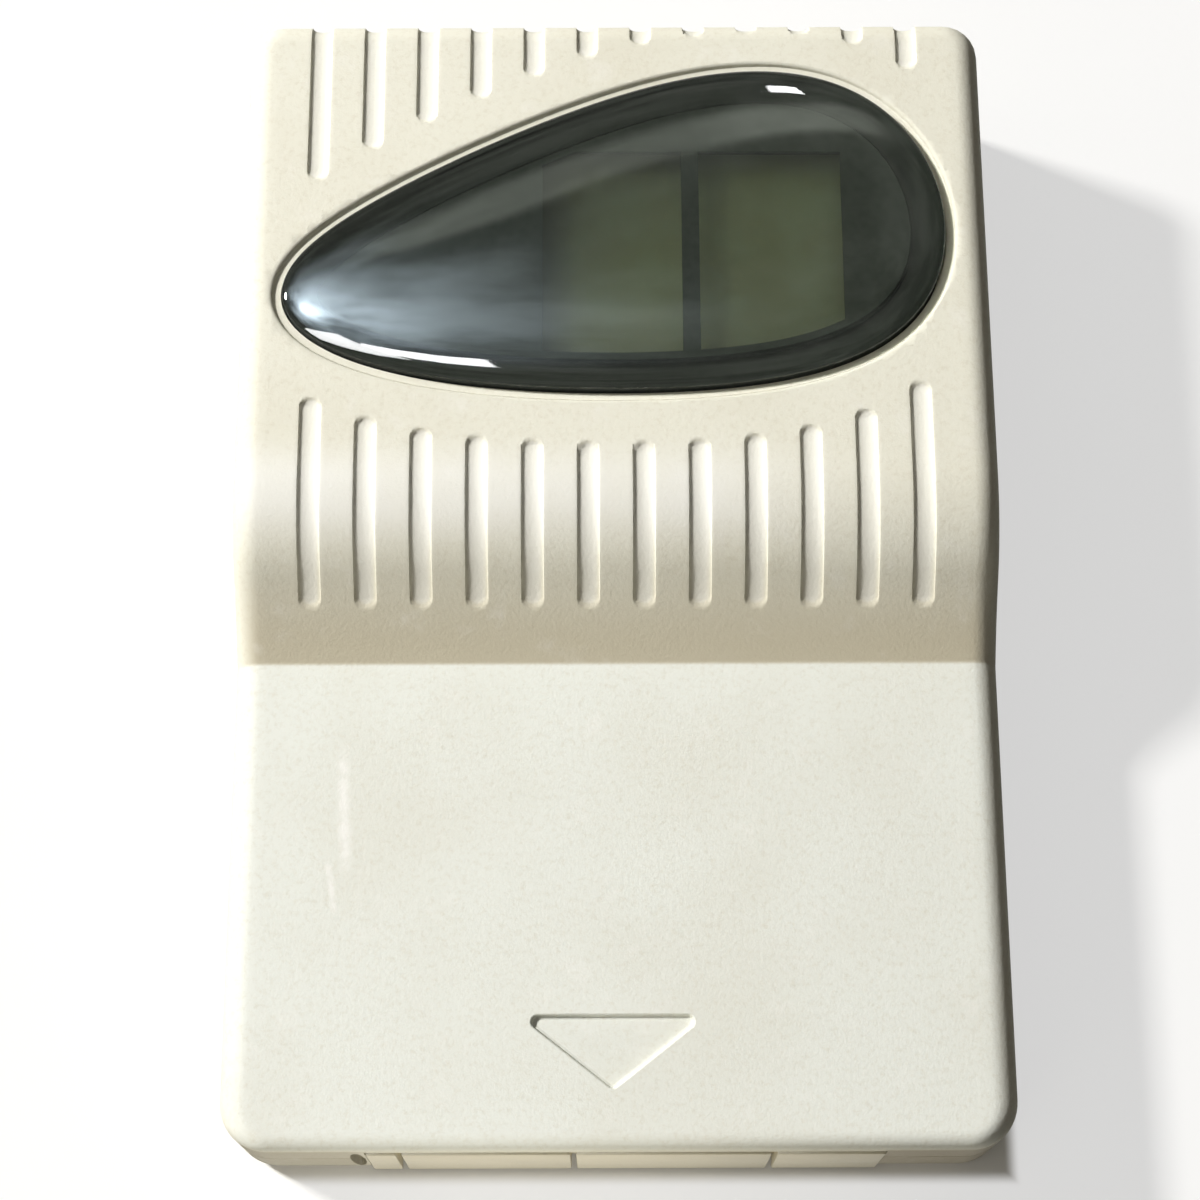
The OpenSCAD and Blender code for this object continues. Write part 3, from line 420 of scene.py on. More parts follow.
class CaseForm:
    """Height and slope of the card's top along Y: the plate, the ramp's hollow, its brow and the handle."""

    def __init__(self, settings):
        self.case, self.ramp = sizes(settings.case), sizes(settings.ramp)
        self.groove, self.window = sizes(settings.groove), sizes(settings.window)
        self.nose, self.tail = REAR_BOX[0].y, REAR_BOX[1].y
        self.face = BLOCK_BOX[0].y
        self.half = REAR_BOX[1].x
        self.low, self.high = self.case.plate_thickness, FRONT_BOX[1].z
        steep = self.ramp.angle
        self.brow_y = self.tail - self.ramp.handle_flat
        self.steep_y = self.brow_y - self.ramp.brow * math.sin(steep)
        self.steep_z = self.high - self.ramp.brow * (1 - math.cos(steep))
        self.hollow_y = self.steep_y - self.ramp.hollow * math.sin(steep)
        self.hollow_z = self.steep_z + self.ramp.hollow * math.cos(steep)
        self.foot_angle = math.acos((self.hollow_z - self.low) / self.ramp.hollow)
        self.foot_y = self.hollow_y + self.ramp.hollow * math.sin(self.foot_angle)
        self.groove_end = self.groove.width / 2
        grid = np.linspace(self.nose, self.tail, 6001)
        run = np.hypot(np.diff(grid), np.diff(self.height(grid)))
        self.run_y, self.run_s = grid, np.concatenate([[0], np.cumsum(run)])

    def slope(self, y):
        """Angle of the top in radians: asin of the distance from each arc's centre over its radius."""
        hollow = np.arcsin(np.clip((y - self.hollow_y) / self.ramp.hollow, 0, 1))
        brow = np.arcsin(np.clip((self.brow_y - y) / self.ramp.brow, 0, 1))
        return np.where(y < self.foot_y, 0, np.where(y < self.steep_y, hollow, brow))

    def height(self, y, out=0.0):
        """Height of the top, moved out along its normal on the two arcs."""
        deep = self.ramp.hollow - out
        hollow = self.hollow_z - np.sqrt(np.maximum(deep**2 - (y - self.hollow_y)**2, 0))
        round_r = self.ramp.brow + out
        brow = (self.high - self.ramp.brow
                + np.sqrt(np.maximum(round_r**2 - np.minimum(y - self.brow_y, 0)**2, 0)))
        return np.where(y < self.foot_y, self.low + out, np.where(y < self.steep_y, hollow, brow))

    def run(self, y):
        """Distance along the top from the connector end."""
        return np.interp(y, self.run_y, self.run_s)

    def groove_spans(self):
        """Each groove's x, and its first and last distance along the path over the top and down the end."""
        radius = self.case.side_fillet
        edge = lens_outline(self.window, self.groove.window_gap, 720)
        edge = np.vstack([edge, edge[:1]])
        upper, lower = edge[:361][::-1], edge[360:]
        arc_y = self.tail - radius
        arc_s = self.run(arc_y)
        fall = self.high - radius - (self.case.parting_height + self.groove.end_gap + self.groove_end)
        last_s = arc_s + radius * math.pi / 2 + fall
        ramp_s = self.run(self.foot_y + self.groove.foot_gap + self.groove_end)
        # Where a groove starts on the rounded edge, its turn above the level is read from a slightly larger
        # arc and never falls below the least turn
        bulge, least_turn = 0.6, math.radians(20)
        spans = []
        for i in range(self.groove.count):
            x = (i - (self.groove.count - 1) / 2) * self.groove.pitch
            y = np.interp(x, upper[:, 0], upper[:, 1]) + self.groove_end
            if y < arc_y:
                first = self.run(y)
            else:
                turn = max(math.acos(min((y - arc_y) / (radius + bulge), 1)), least_turn)
                first = arc_s + radius * (math.pi / 2 - turn)
            spans.append((x, float(first), last_s))
            y = np.interp(x, lower[:, 0], lower[:, 1]) - self.groove_end
            spans.append((x, float(ramp_s), float(self.run(y))))
        return spans

    def groove_depth(self, x, s):
        """Depth at a place: a flattened scoop, depth * sqrt(1 - u^2), where u is the distance from the
        groove's middle line over its half width. Its lip is eased over the last tenth, and on the ramp it
        is shallower."""
        depth = np.zeros_like(x)
        for middle, first, last in self.groove_spans():
            u = np.hypot(x - middle, np.maximum(np.maximum(first - s, s - last), 0)) / self.groove_end
            scoop = np.sqrt(np.maximum(1 - np.minimum(u, 1)**2, 0))
            lip = eased((1.06 - u) / 0.12)
            depth = np.maximum(depth, self.groove.depth * np.minimum(scoop + 0.02, lip))
        brow, steep = self.run(self.brow_y), self.run(self.steep_y)
        fade = eased((s - steep) / (brow - steep))
        return depth * (self.groove.ramp_share + (1 - self.groove.ramp_share) * fade)

    def columns(self):
        """Places across the card: close beside each groove's edges, wide between them."""
        offsets = self.groove_end * np.array([0, 0.4, 0.65, 0.8, 0.88, 0.93, 0.965, 1, 1.035, 1.07, 1.3])
        offsets = np.concatenate([-offsets[:0:-1], offsets])
        middles = (np.arange(self.groove.count) - (self.groove.count - 1) / 2) * self.groove.pitch
        inner = np.concatenate([(middles[:, None] + offsets).ravel(), (middles[:-1] + middles[1:]) / 2])
        self.inner_x = float(inner.max()) + 0.2
        side = np.linspace(self.inner_x, self.half - self.case.side_fillet, 5)
        return np.sort(np.concatenate([inner, side, -side]))

    def corner_rows(self, corner, start_fillet, end_fillet, steps=13):
        """Rows of a corner seen from above, from the end of the card to its side: the angle, the corner's
        fillet radius there, and the point inset by it, from the corner's centre."""
        angle = np.linspace(-np.pi / 2, 0, steps)
        share = (angle + np.pi / 2) / (np.pi / 2)
        fillet = start_fillet + (end_fillet - start_fillet) * eased(share)
        return angle, fillet, (corner - fillet) * np.cos(angle), (corner - fillet) * np.sin(angle)

    def rows(self):
        """Stations along Y: place, half width of the flat top, fillet radius and the angle of the side's
        outward normal, each an array from the connector end to the handle end."""
        case = self.case
        a0, f0, x0, y0 = self.corner_rows(case.nose_corner, case.nose_fillet, case.side_fillet)
        a1, f1, x1, y1 = self.corner_rows(case.handle_corner, case.side_fillet, case.side_fillet, 7)
        low, high = self.nose + case.nose_corner, self.tail - case.handle_corner
        window_low, window_high = self.brow_y + 1.5, self.brow_y + 6.5
        foot, groove_low = self.foot_y, self.foot_y + self.groove.foot_gap
        # Rows lie close where the top bends and where grooves start or end, and wide between
        middle = np.concatenate([
            np.linspace(low, foot - 0.3, 24), np.linspace(foot - 0.12, foot + 0.12, 3),
            np.arange(foot + 0.35, groove_low - 0.3, 0.35),
            np.arange(groove_low - 0.2, groove_low + 1.2, 0.12),
            np.arange(groove_low + 1.3, window_low, 0.3),
            np.arange(window_low, window_high, 0.13), np.arange(window_high, self.tail - 11, 0.7),
            np.arange(self.tail - 11, high - 0.1, 0.15), [high]])
        place = np.concatenate([low + y0, middle[1:-1], high - y1[::-1]])
        wide = self.half - case.side_fillet
        width = np.concatenate([self.half - case.nose_corner + x0, np.full(len(middle) - 2, wide),
                                self.half - case.handle_corner + x1[::-1]])
        fillet = np.concatenate([f0, np.full(len(middle) - 2, case.side_fillet), f1[::-1]])
        turn = np.concatenate([a0, np.zeros(len(middle) - 2), -a1[::-1]])
        return place, width, fillet, turn

    def outer_points(self):
        """The outer skin as a patch of rows by columns on the top, and rings of points that run from the
        patch's border round the fillet, sin and cos of 0 to 90 degrees, and down the wall."""
        place, width, fillet, turn = self.rows()
        columns = self.columns()
        wide = self.half - self.case.side_fillet
        beyond = np.maximum(np.abs(columns) - self.inner_x, 0) / (wide - self.inner_x)
        kept = np.minimum(np.abs(columns), self.inner_x)
        x = np.sign(columns) * (kept + beyond * (width[:, None] - self.inner_x))
        y = np.broadcast_to(place[:, None], x.shape)
        slope, z = self.slope(y), self.height(y)
        depth = self.groove_depth(x, self.run(y))
        patch = np.stack([x, y + depth * np.sin(slope), z - depth * np.cos(slope)], -1)
        sunk = [depth.ravel()]
        flat = np.stack([x, y, z], -1)

        # The border runs counter-clockwise seen from above, and starts at the nose's right corner
        rows, across = x.shape
        index = numbered(flat)
        border = np.concatenate([index[:-1, -1], index[-1, :0:-1], index[:0:-1, 0], index[0, :-1]])
        normal_turn = np.concatenate([
            turn[:-1], np.full(across - 1, np.pi / 2), np.pi - turn[:0:-1], np.full(across - 1, -np.pi / 2)])
        normal_turn[0] = turn[0]
        normal_turn[rows - 1] = np.pi / 2
        radius = np.concatenate([fillet[:-1], np.full(across - 1, fillet[-1]), fillet[:0:-1],
                                 np.full(across - 1, fillet[0])])
        base = flat.reshape(-1, 3)[border]
        normal = np.column_stack([np.cos(normal_turn), np.sin(normal_turn)])

        chamfer, parting = self.case.parting_chamfer, self.case.parting_height
        angle = np.linspace(0, np.pi / 2, 11)[1:]
        low = parting + chamfer
        # Shares of the wall's height with a ring each, close together where the grooves end
        falls = np.array([0.25, 0.5, 0.6, 0.63, 0.66, 0.69, 0.72, 0.74, 0.76, 0.78, 0.8, 0.82, 0.85, 0.9, 1])
        rings = []
        start_s = self.run(self.tail - self.case.side_fillet)
        for a in angle:
            out = radius * np.sin(a)
            height = base[:, 2] - radius * (1 - np.cos(a))
            depth = np.where(normal_turn == np.pi / 2, self.groove_depth(
                base[:, 0], np.full(len(base), start_s + self.case.side_fillet * a)), 0)
            out, height = out - depth * np.sin(a), height - depth * np.cos(a)
            sunk.append(depth)
            rings.append(np.column_stack([base[:, :2] + normal * out[:, None], height]))
        top = base[:, 2] - radius
        for share in falls:
            height = top + (low - top) * share
            depth = np.where(normal_turn == np.pi / 2, self.groove_depth(
                base[:, 0], start_s + self.case.side_fillet * np.pi / 2 + top - height), 0)
            sunk.append(depth)
            rings.append(np.column_stack([base[:, :2] + normal * (radius - depth)[:, None], height]))
        rings.append(np.column_stack([base[:, :2] + normal * (radius - chamfer)[:, None],
                                      np.full(len(base), parting)]))
        sunk.append(np.zeros(len(base)))
        return patch, border, np.stack(rings), np.concatenate(sunk) / self.groove.depth

    def outer_solid(self):
        """The closed outer solid of the front shell: the patch, the rings below its border and a base."""
        patch, border, rings, sunk = self.outer_points()
        index = numbered(patch)
        quads = np.stack([index[:-1, :-1], index[:-1, 1:], index[1:, 1:], index[1:, :-1]], -1).reshape(-1, 4)
        loops = np.vstack([border, index.size + numbered(rings)])
        upper, lower = loops[:-1], loops[1:]
        skirts = np.stack([upper, lower, np.roll(lower, -1, 1), np.roll(upper, -1, 1)], -1).reshape(-1, 4)
        points = np.concatenate([patch.reshape(-1, 3), rings.reshape(-1, 3)])
        return points, [*quads.tolist(), *skirts.tolist(), loops[-1, ::-1].tolist()], sunk

    def cavity_solid(self):
        """The room inside the front shell: sections across the card, each a rectangle under the roof."""
        case = self.case
        inset_low, inset_high = case.nose_corner - case.wall, case.handle_corner - case.wall
        low, high = self.nose + case.wall, self.tail - case.wall
        wide = self.half - case.wall
        turn = np.linspace(0, np.pi / 2, 7)
        start_y = low + inset_low * (1 - np.cos(turn))
        start_x = wide - inset_low * (1 - np.sin(turn))
        end_y = high - inset_high * (1 - np.cos(turn))[::-1]
        end_x = (wide - inset_high * (1 - np.sin(turn)))[::-1]
        ceiling = self.low - case.wall
        ramp_y = np.linspace(self.foot_y - 3, self.brow_y, 40)[1:]
        y = np.concatenate([start_y, ramp_y, end_y])
        x = np.concatenate([start_x, np.full_like(ramp_y, wide), end_x])
        top = np.maximum(self.height(y, -self.ramp_roof(y)), ceiling)
        bottom = np.full_like(x, case.parting_height - PAST)
        return closed_stack(np.stack([np.stack([side, y, z], -1) for side, z in (
            (-x, bottom), (-x, top), (x, top), (x, bottom))], 1))

    def ramp_roof(self, y):
        """Roof thickness along Y, measured along the normal."""
        return np.where(y < self.foot_y, self.case.wall, self.case.roof)


# Materials

def linear(hex_value):
    """An sRGB hex value as linear red, green and blue: above 0.04045 it is ((v + 0.055) / 1.055)^2.4."""
    values = [int(hex_value[i:i + 2], 16) / 255 for i in (1, 3, 5)]
    return [v / 12.92 if v <= 0.04045 else ((v + 0.055) / 1.055)**2.4 for v in values] + [1]


def feed(node, *inputs, **named):
    """Gives a node's inputs their values, in order or by name. A socket is linked, a node stands for its
    first output in use, and any other value is set. Returns the inputs that found no room."""
    sockets = [socket for socket in node.inputs if socket.enabled]
    by_name = {socket.name: socket for socket in reversed(sockets)}
    wanted = [*zip(sockets, inputs)]
    wanted += [(by_name[name.replace("_", " ")], value) for name, value in named.items()]
    for socket, value in wanted:
        if isinstance(value, bpy.types.Node):
            value = next(output for output in value.outputs if output.enabled)
        if isinstance(value, bpy.types.NodeSocket):
            node.id_data.links.new(value, socket)
        else:
            socket.default_value = value
    return inputs[len(sockets):]


def add_node(tree, kind, *inputs, **settings):
    """Adds a node with its inputs in order, and with settings for its properties or its named inputs.
    Inputs past its last go with its output into another node like it, as in a product of three values."""
    node = tree.nodes.new("ShaderNode" + kind)
    settings = {**USUAL_SETTINGS.get(kind, {}), **settings}
    named = {name: value for name, value in settings.items() if not hasattr(node, name)}
    for name, value in settings.items():
        if name not in named:
            setattr(node, name, value)
    left = feed(node, *inputs, **named)
    return add_node(tree, kind, node, *left, **settings) if left else node


def material(name, value, roughness, **sockets):
    """A material with one Principled shader. Returns it, a function that adds a node to it, its shader
    and Object coordinates in millimetres."""
    made = bpy.data.materials.new(name)
    made.use_nodes = True
    made.node_tree.nodes.clear()
    add = functools.partial(add_node, made.node_tree)
    shader = add("BsdfPrincipled", Base_Color=linear(value), Roughness=roughness, **sockets)
    add("OutputMaterial", shader)
    place = add("VectorMath", add("TexCoord").outputs["Object"], Scale=1 / MM, operation="SCALE")
    return made, add, shader, place


def show(made, shader):
    """Makes a shader the one that a material's surface shows."""
    feed(next(node for node in made.node_tree.nodes if node.type == "OUTPUT_MATERIAL"), shader)


def scuff(add, place, start, end, width):
    """A soft worn streak between two points in millimetres: 0.75 on their line, 0 a width away from it,
    and broken up by noise."""
    start, end = Vector((*start, 0)), Vector((*end, 0))
    length, turn = (end - start).length, math.atan2(end.y - start.y, end.x - start.x)
    bend = add("VectorMath", add("TexNoise", place, 1 / 2.5, 3).outputs["Color"], (0.5, 0.5, 0.5),
               operation="SUBTRACT")
    bent = add("VectorMath", place, add("VectorMath", bend, Scale=width * 0.8, operation="SCALE"),
               operation="ADD")
    local = add("Mapping", bent, (start + end) / 2, (0, 0, turn), vector_type="TEXTURE")
    along, across = (add("Math", way, operation="ABSOLUTE") for way in add("SeparateXYZ", local).outputs[:2])
    return add("Math", add("MapRange", across, width, 0), add("MapRange", along, length * 0.55, length * 0.3),
               add("MapRange", add("TexNoise", place, 1 / 0.8, 4, 0.6), 0.3, 0.62, 0.25, 1), 0.75)


def ivory_abs(finish, foot):
    """Ivory ABS, injection moulded against a spark-eroded tool: an even fine grain with no gloss. Painted
    shade darkens it along the foot of the ramp and on the connector end beside the contact block, painted
    light pales the groove floors and the ramp's brow, and scuffs whiten it."""
    made, add, shader, place = material("ivory moulded ABS", finish.ivory, 0.6, IOR=1.53,
                                        Specular_IOR_Level=0.12)
    grain = add("TexNoise", place, 1 / 0.2, 3, 0.6)  # the real grain is about 0.05 mm and wouldn't show
    cloud = add("TexNoise", place, 1 / 9, 4, 0.55)
    across, along, up = add("SeparateXYZ", place).outputs
    # Wear, dirt, the plate's tone, the painted shade along the ramp's foot and the painted sheen on the brow
    # lie on the top, and not on the walls or the back
    on_top = add("Math", add("MapRange", add("Math", across, operation="ABSOLUTE"), 20.9, 19.6),
                 add("MapRange", up, 6.9, 7.7))
    plate = add("Math", add("MapRange", along, foot + 0.1, foot - 0.1), on_top)
    speckle = add("MapRange", add("TexNoise", place, 1 / 0.35, 4, 0.7), 0.45, 0.8, 0, 0.3)
    # Painted shade: darker and browner along the ramp's foot, where the crease would be in shade
    foot_shade = add("Math", add("MapRange", along, foot - 0.15, foot + 0.1),
                add("MapRange", along, foot + 6, foot + 0.5, 0, 0.8), on_top)
    # Painted shade on the connector end, at both sides of the contact block, deeper at the right
    end_shade = add("Math", add("MapRange", along, -31, -31.5), add("MapRange", up, 7.3, 6.6),
                 add("Math", add("MapRange", across, -13, -14, 0, 0.42),
                     add("MapRange", across, 13.7, 14.2, 0, 0.62), operation="ADD"))
    # Painted light: the groove floors are drawn paler, and on the handle end less so
    sunk = add("Attribute", attribute_name="sunk").outputs["Fac"]
    groove_light = add("Math", add("MapRange", sunk, 0.3, 0.6), add("MapRange", along, 31.6, 30, 0.25, 0.6))
    # Painted sheen: the brow of the ramp is drawn paler, as a soft highlight on its rounding, least at its
    # right end
    brow = add("Math", on_top, add("MapRange", along, foot + 5, foot + 8),
               add("MapRange", along, foot + 12, foot + 9), add("MapRange", across, 15, 3),
               add("MapRange", cloud, 0.3, 0.55, 0.7, 1))
    pale = add("MapRange", add("TexNoise", place, 1 / 2.2, 5, 0.6), 0.55, 0.78, 0, 0.25)
    for start, end, width in (((-14.9, -10.1), (-14.6, -17.6), 0.55), ((-15.6, -16.5), (-15.1, -19.5), 0.3)):
        streak = add("Math", scuff(add, place, start, end, width), on_top)
        pale = add("Math", pale, streak, operation="MAXIMUM")
    base = linear(finish.ivory)
    for share, value in ((plate, finish.ivory_plate), (add("MapRange", cloud, 0.38, 0.72, 0, 0.14),
                                                       finish.ivory_dirt_and_shade),
                         (speckle, finish.ivory_dirt_and_shade), (foot_shade, finish.ivory_dirt_and_shade),
                         (end_shade, finish.ivory_painted_shade), (groove_light, finish.ivory_painted_light),
                         (brow, finish.ivory_painted_light), (pale, finish.ivory_scuff)):
        base = add("Mix", share, base, linear(value))
    feed(shader, Base_Color=base, Roughness=add("MapRange", grain, 0.3, 0.7, 0.54, 0.68),
         Normal=add("Bump", Height=grain, Distance=0.02 * MM))
    return made


def smoke_acrylic(finish):
    """Smoke-green acrylic, moulded in a polished tool: clear, dark, and mirror-smooth, with a faint film of
    handling marks that shows only in its reflections."""
    made, add, shader, place = material("smoke-green acrylic", finish.smoke, 0.03, IOR=1.49,
                                        Transmission_Weight=1.0)
    film = add("TexNoise", place, 1 / 4.5, 4, 0.6, Distortion=0.6)
    feed(shader, Roughness=add("MapRange", film, 0.45, 0.75, 0.03, 0.12))
    # Light from the lamps passes straight through, tinted, so that the panes behind the lens are lit
    show(made, add("MixShader", add("LightPath").outputs["Is Shadow Ray"], shader,
                   add("BsdfTransparent", linear(finish.smoke))))
    return made


def screen_print(finish):
    """Matt black screen print on film: flat, dense and slightly uneven."""
    made, add, shader, place = material("matt black screen print", finish.print_black, 0.6)
    feed(shader, Roughness=add("MapRange", add("TexNoise", place, 1 / 0.4), 0.3, 0.7, 0.5, 0.7))
    return made


def display_film(finish):
    """Satin polariser film on unpowered liquid crystal: grey-olive with a soft cloudiness, and with painted
    shade that darkens it to the upper left, where the mask's edge would shade it."""
    made, add, shader, place = material("satin polariser film", finish.pane, 0.3)
    cloud = add("MapRange", add("TexNoise", place, 1 / 3.2, 4, 0.6), 0.4, 0.7, 0, 0.3)
    base = add("Mix", cloud, linear(finish.pane), linear(finish.glass))
    # Painted shade: the film is darkened towards the upper left of the panes
    corner = add("VectorMath", place, (1, -1.1, 0), operation="DOT_PRODUCT")
    feed(shader, Base_Color=add("Mix", add("MapRange", corner, -28.5, -13, 0.75, 0), base,
                                linear(finish.pane_painted_shade)))
    return made


def display_glass(finish):
    """Soda-lime glass with cut edges: clear, with a green tint, and lightly frosted where it was scored."""
    made, add, shader, place = material("cut soda-lime glass", finish.glass, 0.05, IOR=1.52,
                                        Transmission_Weight=1.0)
    feed(shader, Roughness=add("MapRange", add("TexNoise", place, 1 / 0.5), 0.5, 0.8, 0.03, 0.3))
    return made


def moulded(name, value, roughness, grain=0.2, height=0.006):
    """A plain moulded plastic: one colour with a fine grain in its gloss and its surface."""
    made, add, shader, place = material(name, value, roughness)
    pattern = add("TexNoise", place, 1 / grain)
    cloud = add("MapRange", add("TexNoise", place, 1 / 2.5), 0.4, 0.8, 0, 0.2)
    shaded = [channel * 0.7 for channel in linear(value)[:3]] + [1]
    feed(shader, Base_Color=add("Mix", cloud, linear(value), shaded),
         Roughness=add("MapRange", pattern, 0.3, 0.7, roughness - 0.06, roughness + 0.08),
         Normal=add("Bump", Height=pattern, Distance=height * MM))
    return made


def plated(name, value, roughness, direction=(1, 12, 1)):
    """Plated metal, drawn or stamped: fine streaks along the way it was worked."""
    made, add, shader, place = material(name, value, roughness, Metallic=1.0)
    streak = add("TexNoise", add("Mapping", place, Scale=direction), 1 / 0.6, 4)
    feed(shader, Roughness=add("MapRange", streak, 0.3, 0.7, roughness - 0.1, roughness + 0.12),
         Normal=add("Bump", Height=streak, Distance=0.003 * MM))
    return made


def solder_resist(finish):
    """Glass-epoxy laminate under green solder resist: glossy, with the weave just showing through."""
    made, add, shader, place = material("green solder resist", finish.laminate, 0.28)
    weave = 0.5  # glass yarns lie about 0.5 mm apart
    yarns = [add("TexWave", place, Scale=1 / weave / math.tau, bands_direction=way).outputs["Fac"]
             for way in "XY"]
    feed(shader, Normal=add("Bump", Height=add("Math", *yarns, operation="ADD"), Distance=0.004 * MM))
    return made


def end_capped(name, value, metal, left, right):
    """Chip component: fired ceramic between tinned ends, told apart by distance from its middle along X."""
    made, add, shader, place = material(name, value, 0.45)
    from_middle = add("Math", add("SeparateXYZ", place).outputs["X"], (left + right) / 2,
                      operation="SUBTRACT")
    capped = add("Math", add("Math", from_middle, operation="ABSOLUTE"), (right - left) / 2 * 0.6,
                 operation="GREATER_THAN")
    feed(shader, Base_Color=add("Mix", capped, linear(value), linear(metal)), Metallic=capped,
         Roughness=add("MapRange", add("TexNoise", place, 1 / 0.3), 0.3, 0.7, 0.35, 0.55))
    return made


def dress(made, *nodes):
    """Gives CAD nodes their material."""
    for node in nodes:
        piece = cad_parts[node]
        piece.data.materials.clear()
        piece.data.materials.append(made)


def finish_piece(piece, made, slot, *nodes):
    """Gives a new piece its material and its body, and hides the CAD nodes that it stands for. The slot is
    not used.
    """
    piece.data.materials.clear()
    piece.data.materials.append(made)
    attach(piece, BODY)
    if nodes:
        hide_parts(*nodes)


# Operators

class CARD_OT_front_housing(bpy.types.Operator):
    """Make the moulded front housing with its ramp, grip grooves, window seat and arrow"""
    bl_idname = "card.front_housing"
    bl_label = "Front housing"

    def execute(self, context):
        settings = context.scene.card
        form = CaseForm(settings)
        case, window, arrow = form.case, form.window, sizes(settings.arrow)
        parts = sizes(settings.fastening)
        points, faces, sunk = form.outer_solid()
        piece = put_mesh("front_housing", points, faces)
        piece.data.attributes.new("sunk", "FLOAT", "POINT").data.foreach_set("value", sunk)
        slide = case.wall - parts.tongue - window.fit
        cut(piece, form.cavity_solid(), outline_solid(case_outline, case, [
            (-slide, case.parting_height - PAST), (-slide, case.parting_height + parts.tongue_height + 0.1)]))
        cut(piece,
            *turned_pair(SCREW_X, SCREW_Y, [
                (parts.post, parts.post_top), (parts.post, form.high - case.roof + INTO)]),
            *turned_pair(form.half - parts.pin_from_side, form.face + parts.pin_from_nose, [
                (parts.pin, case.wall + INTO), (parts.pin, BOARD_BOX[1].z),
                (parts.pin_shoulder, BOARD_BOX[1].z), (parts.pin_shoulder, form.low - case.wall + INTO)]),
            operation="UNION")
        bore = parts.screw_shank + parts.close_play
        notch = [(BLOCK_ENDS[0] - window.fit, form.nose - 2, case.parting_height - PAST),
                 (BLOCK_ENDS[1] + window.fit, form.nose + case.wall + INTO, BLOCK_BOX[1].z + window.fit)]
        cut(piece,
            *turned_pair(SCREW_X, SCREW_Y, [(bore, parts.post_top - INTO), (bore, SCREW_BOX[1].z + INTO)]),
            outline_solid(lens_outline, window, self.seat(form)),
            outline_solid(arrow_outline, arrow, self.recess(form.low, arrow.depth)),
            vent_solid(parts, case.wall), box_solid(*notch))
        finish_piece(piece, ivory_abs(settings.finish, form.foot_y), "case_plastic", "front_shell")
        return {"FINISHED"}

    roll = np.radians(np.linspace(0, 72, 7))  # a rounded lip ends before its tangent lies flat
    root = 0.12  # radius of the small fillet at a recess's floor

    def seat(self, form):
        """Profile of the lens's seat: an opening, a ledge, a gutter with a rounded root and a rounded lip."""
        window, root, lip = form.window, self.root, 0.22
        top, base, wide = form.high, form.high - window.seat_depth, window.gutter_width
        floor_z, rise = top - window.gutter_depth, lip * 0.95
        return [(-window.ledge, top - form.case.roof - 0.7), (-window.ledge, base), (window.fit, base),
                (window.fit, floor_z), (wide - root, floor_z), (wide - root * 0.3, floor_z + root * 0.3),
                (wide, floor_z + root),
                *((wide + lip * (1 - math.cos(a)), top - rise + rise * math.sin(a)) for a in self.roll),
                (wide + lip, top + 0.03), (wide + lip, top + PAST)]

    def recess(self, plate, depth):
        """Profile of the arrow: a floor, walls with a slight draft and a rounded edge."""
        root, draft, edge = self.root, 0.06, 0.12
        return [(-draft - root - 0.03, plate - depth), (-draft - root, plate - depth),
                (-draft, plate - depth + root / 2), (0, plate - edge),
                *((edge * (1 - math.cos(a)), plate - edge + edge * math.sin(a)) for a in self.roll[1:]),
                (edge, plate + 0.03), (edge, plate + PAST)]


class CARD_OT_rear_housing(bpy.types.Operator):
    """Make the moulded rear tray with its rounded back, screw holes and contact window"""
    bl_idname = "card.rear_housing"
    bl_label = "Rear housing"

    def execute(self, context):
        settings = context.scene.card
        form = CaseForm(settings)
        case, parts = form.case, sizes(settings.fastening)
        chamfer, parting = case.parting_chamfer, case.parting_height
        piece = put_mesh("rear_housing", *outline_solid(case_outline, case, [
            *((-case.back_fillet * (1 - math.sin(a)), case.back_fillet * (1 - math.cos(a)))
              for a in np.radians(np.linspace(0, 90, 9))),
            (0, parting - chamfer), (-chamfer, parting), (parts.tongue - case.wall, parting),
            (parts.tongue - case.wall, parting + parts.tongue_height)]))
        cut(piece, outline_solid(case_outline, case, [(-case.wall, case.wall), (-case.wall, parting + PAST)]))
        pin_place = form.half - parts.pin_from_side, form.face + parts.pin_from_nose
        cut(piece,
            *turned_pair(SCREW_X, SCREW_Y, [(parts.post, case.wall - INTO), (parts.post, parts.post_top)]),
            *turned_pair(*pin_place, [
                (parts.pin_shoulder, case.wall - INTO), (parts.pin_shoulder, BOARD_BOX[0].z)]),
            operation="UNION")
        seat = SCREW_BOX[0].z + parts.screw_head_height
        wide, narrow = parts.screw_head + parts.screw_play, parts.screw_shank + parts.screw_play
        rim, hole = 0.15, parts.pin + parts.close_play
        cut(piece,
            *turned_pair(SCREW_X, SCREW_Y, [
                (wide + rim + PAST, -PAST), (wide + rim, 0), (wide, rim), (wide, seat), (narrow, seat),
                (narrow, parts.post_top + PAST)]),
            *turned_pair(*pin_place, [(hole, case.wall), (hole, BOARD_BOX[0].z + PAST)]),
            vent_solid(parts, case.wall),
            box_solid((BLOCK_ENDS[0] - 0.1, form.nose - 2, -PAST),
                      (BLOCK_ENDS[1] + 0.1, BLOCK_BOX[1].y + 0.6, parting + 2)))
        finish_piece(piece, bpy.data.materials["ivory moulded ABS"], "case_plastic", "rear_shell")
        return {"FINISHED"}


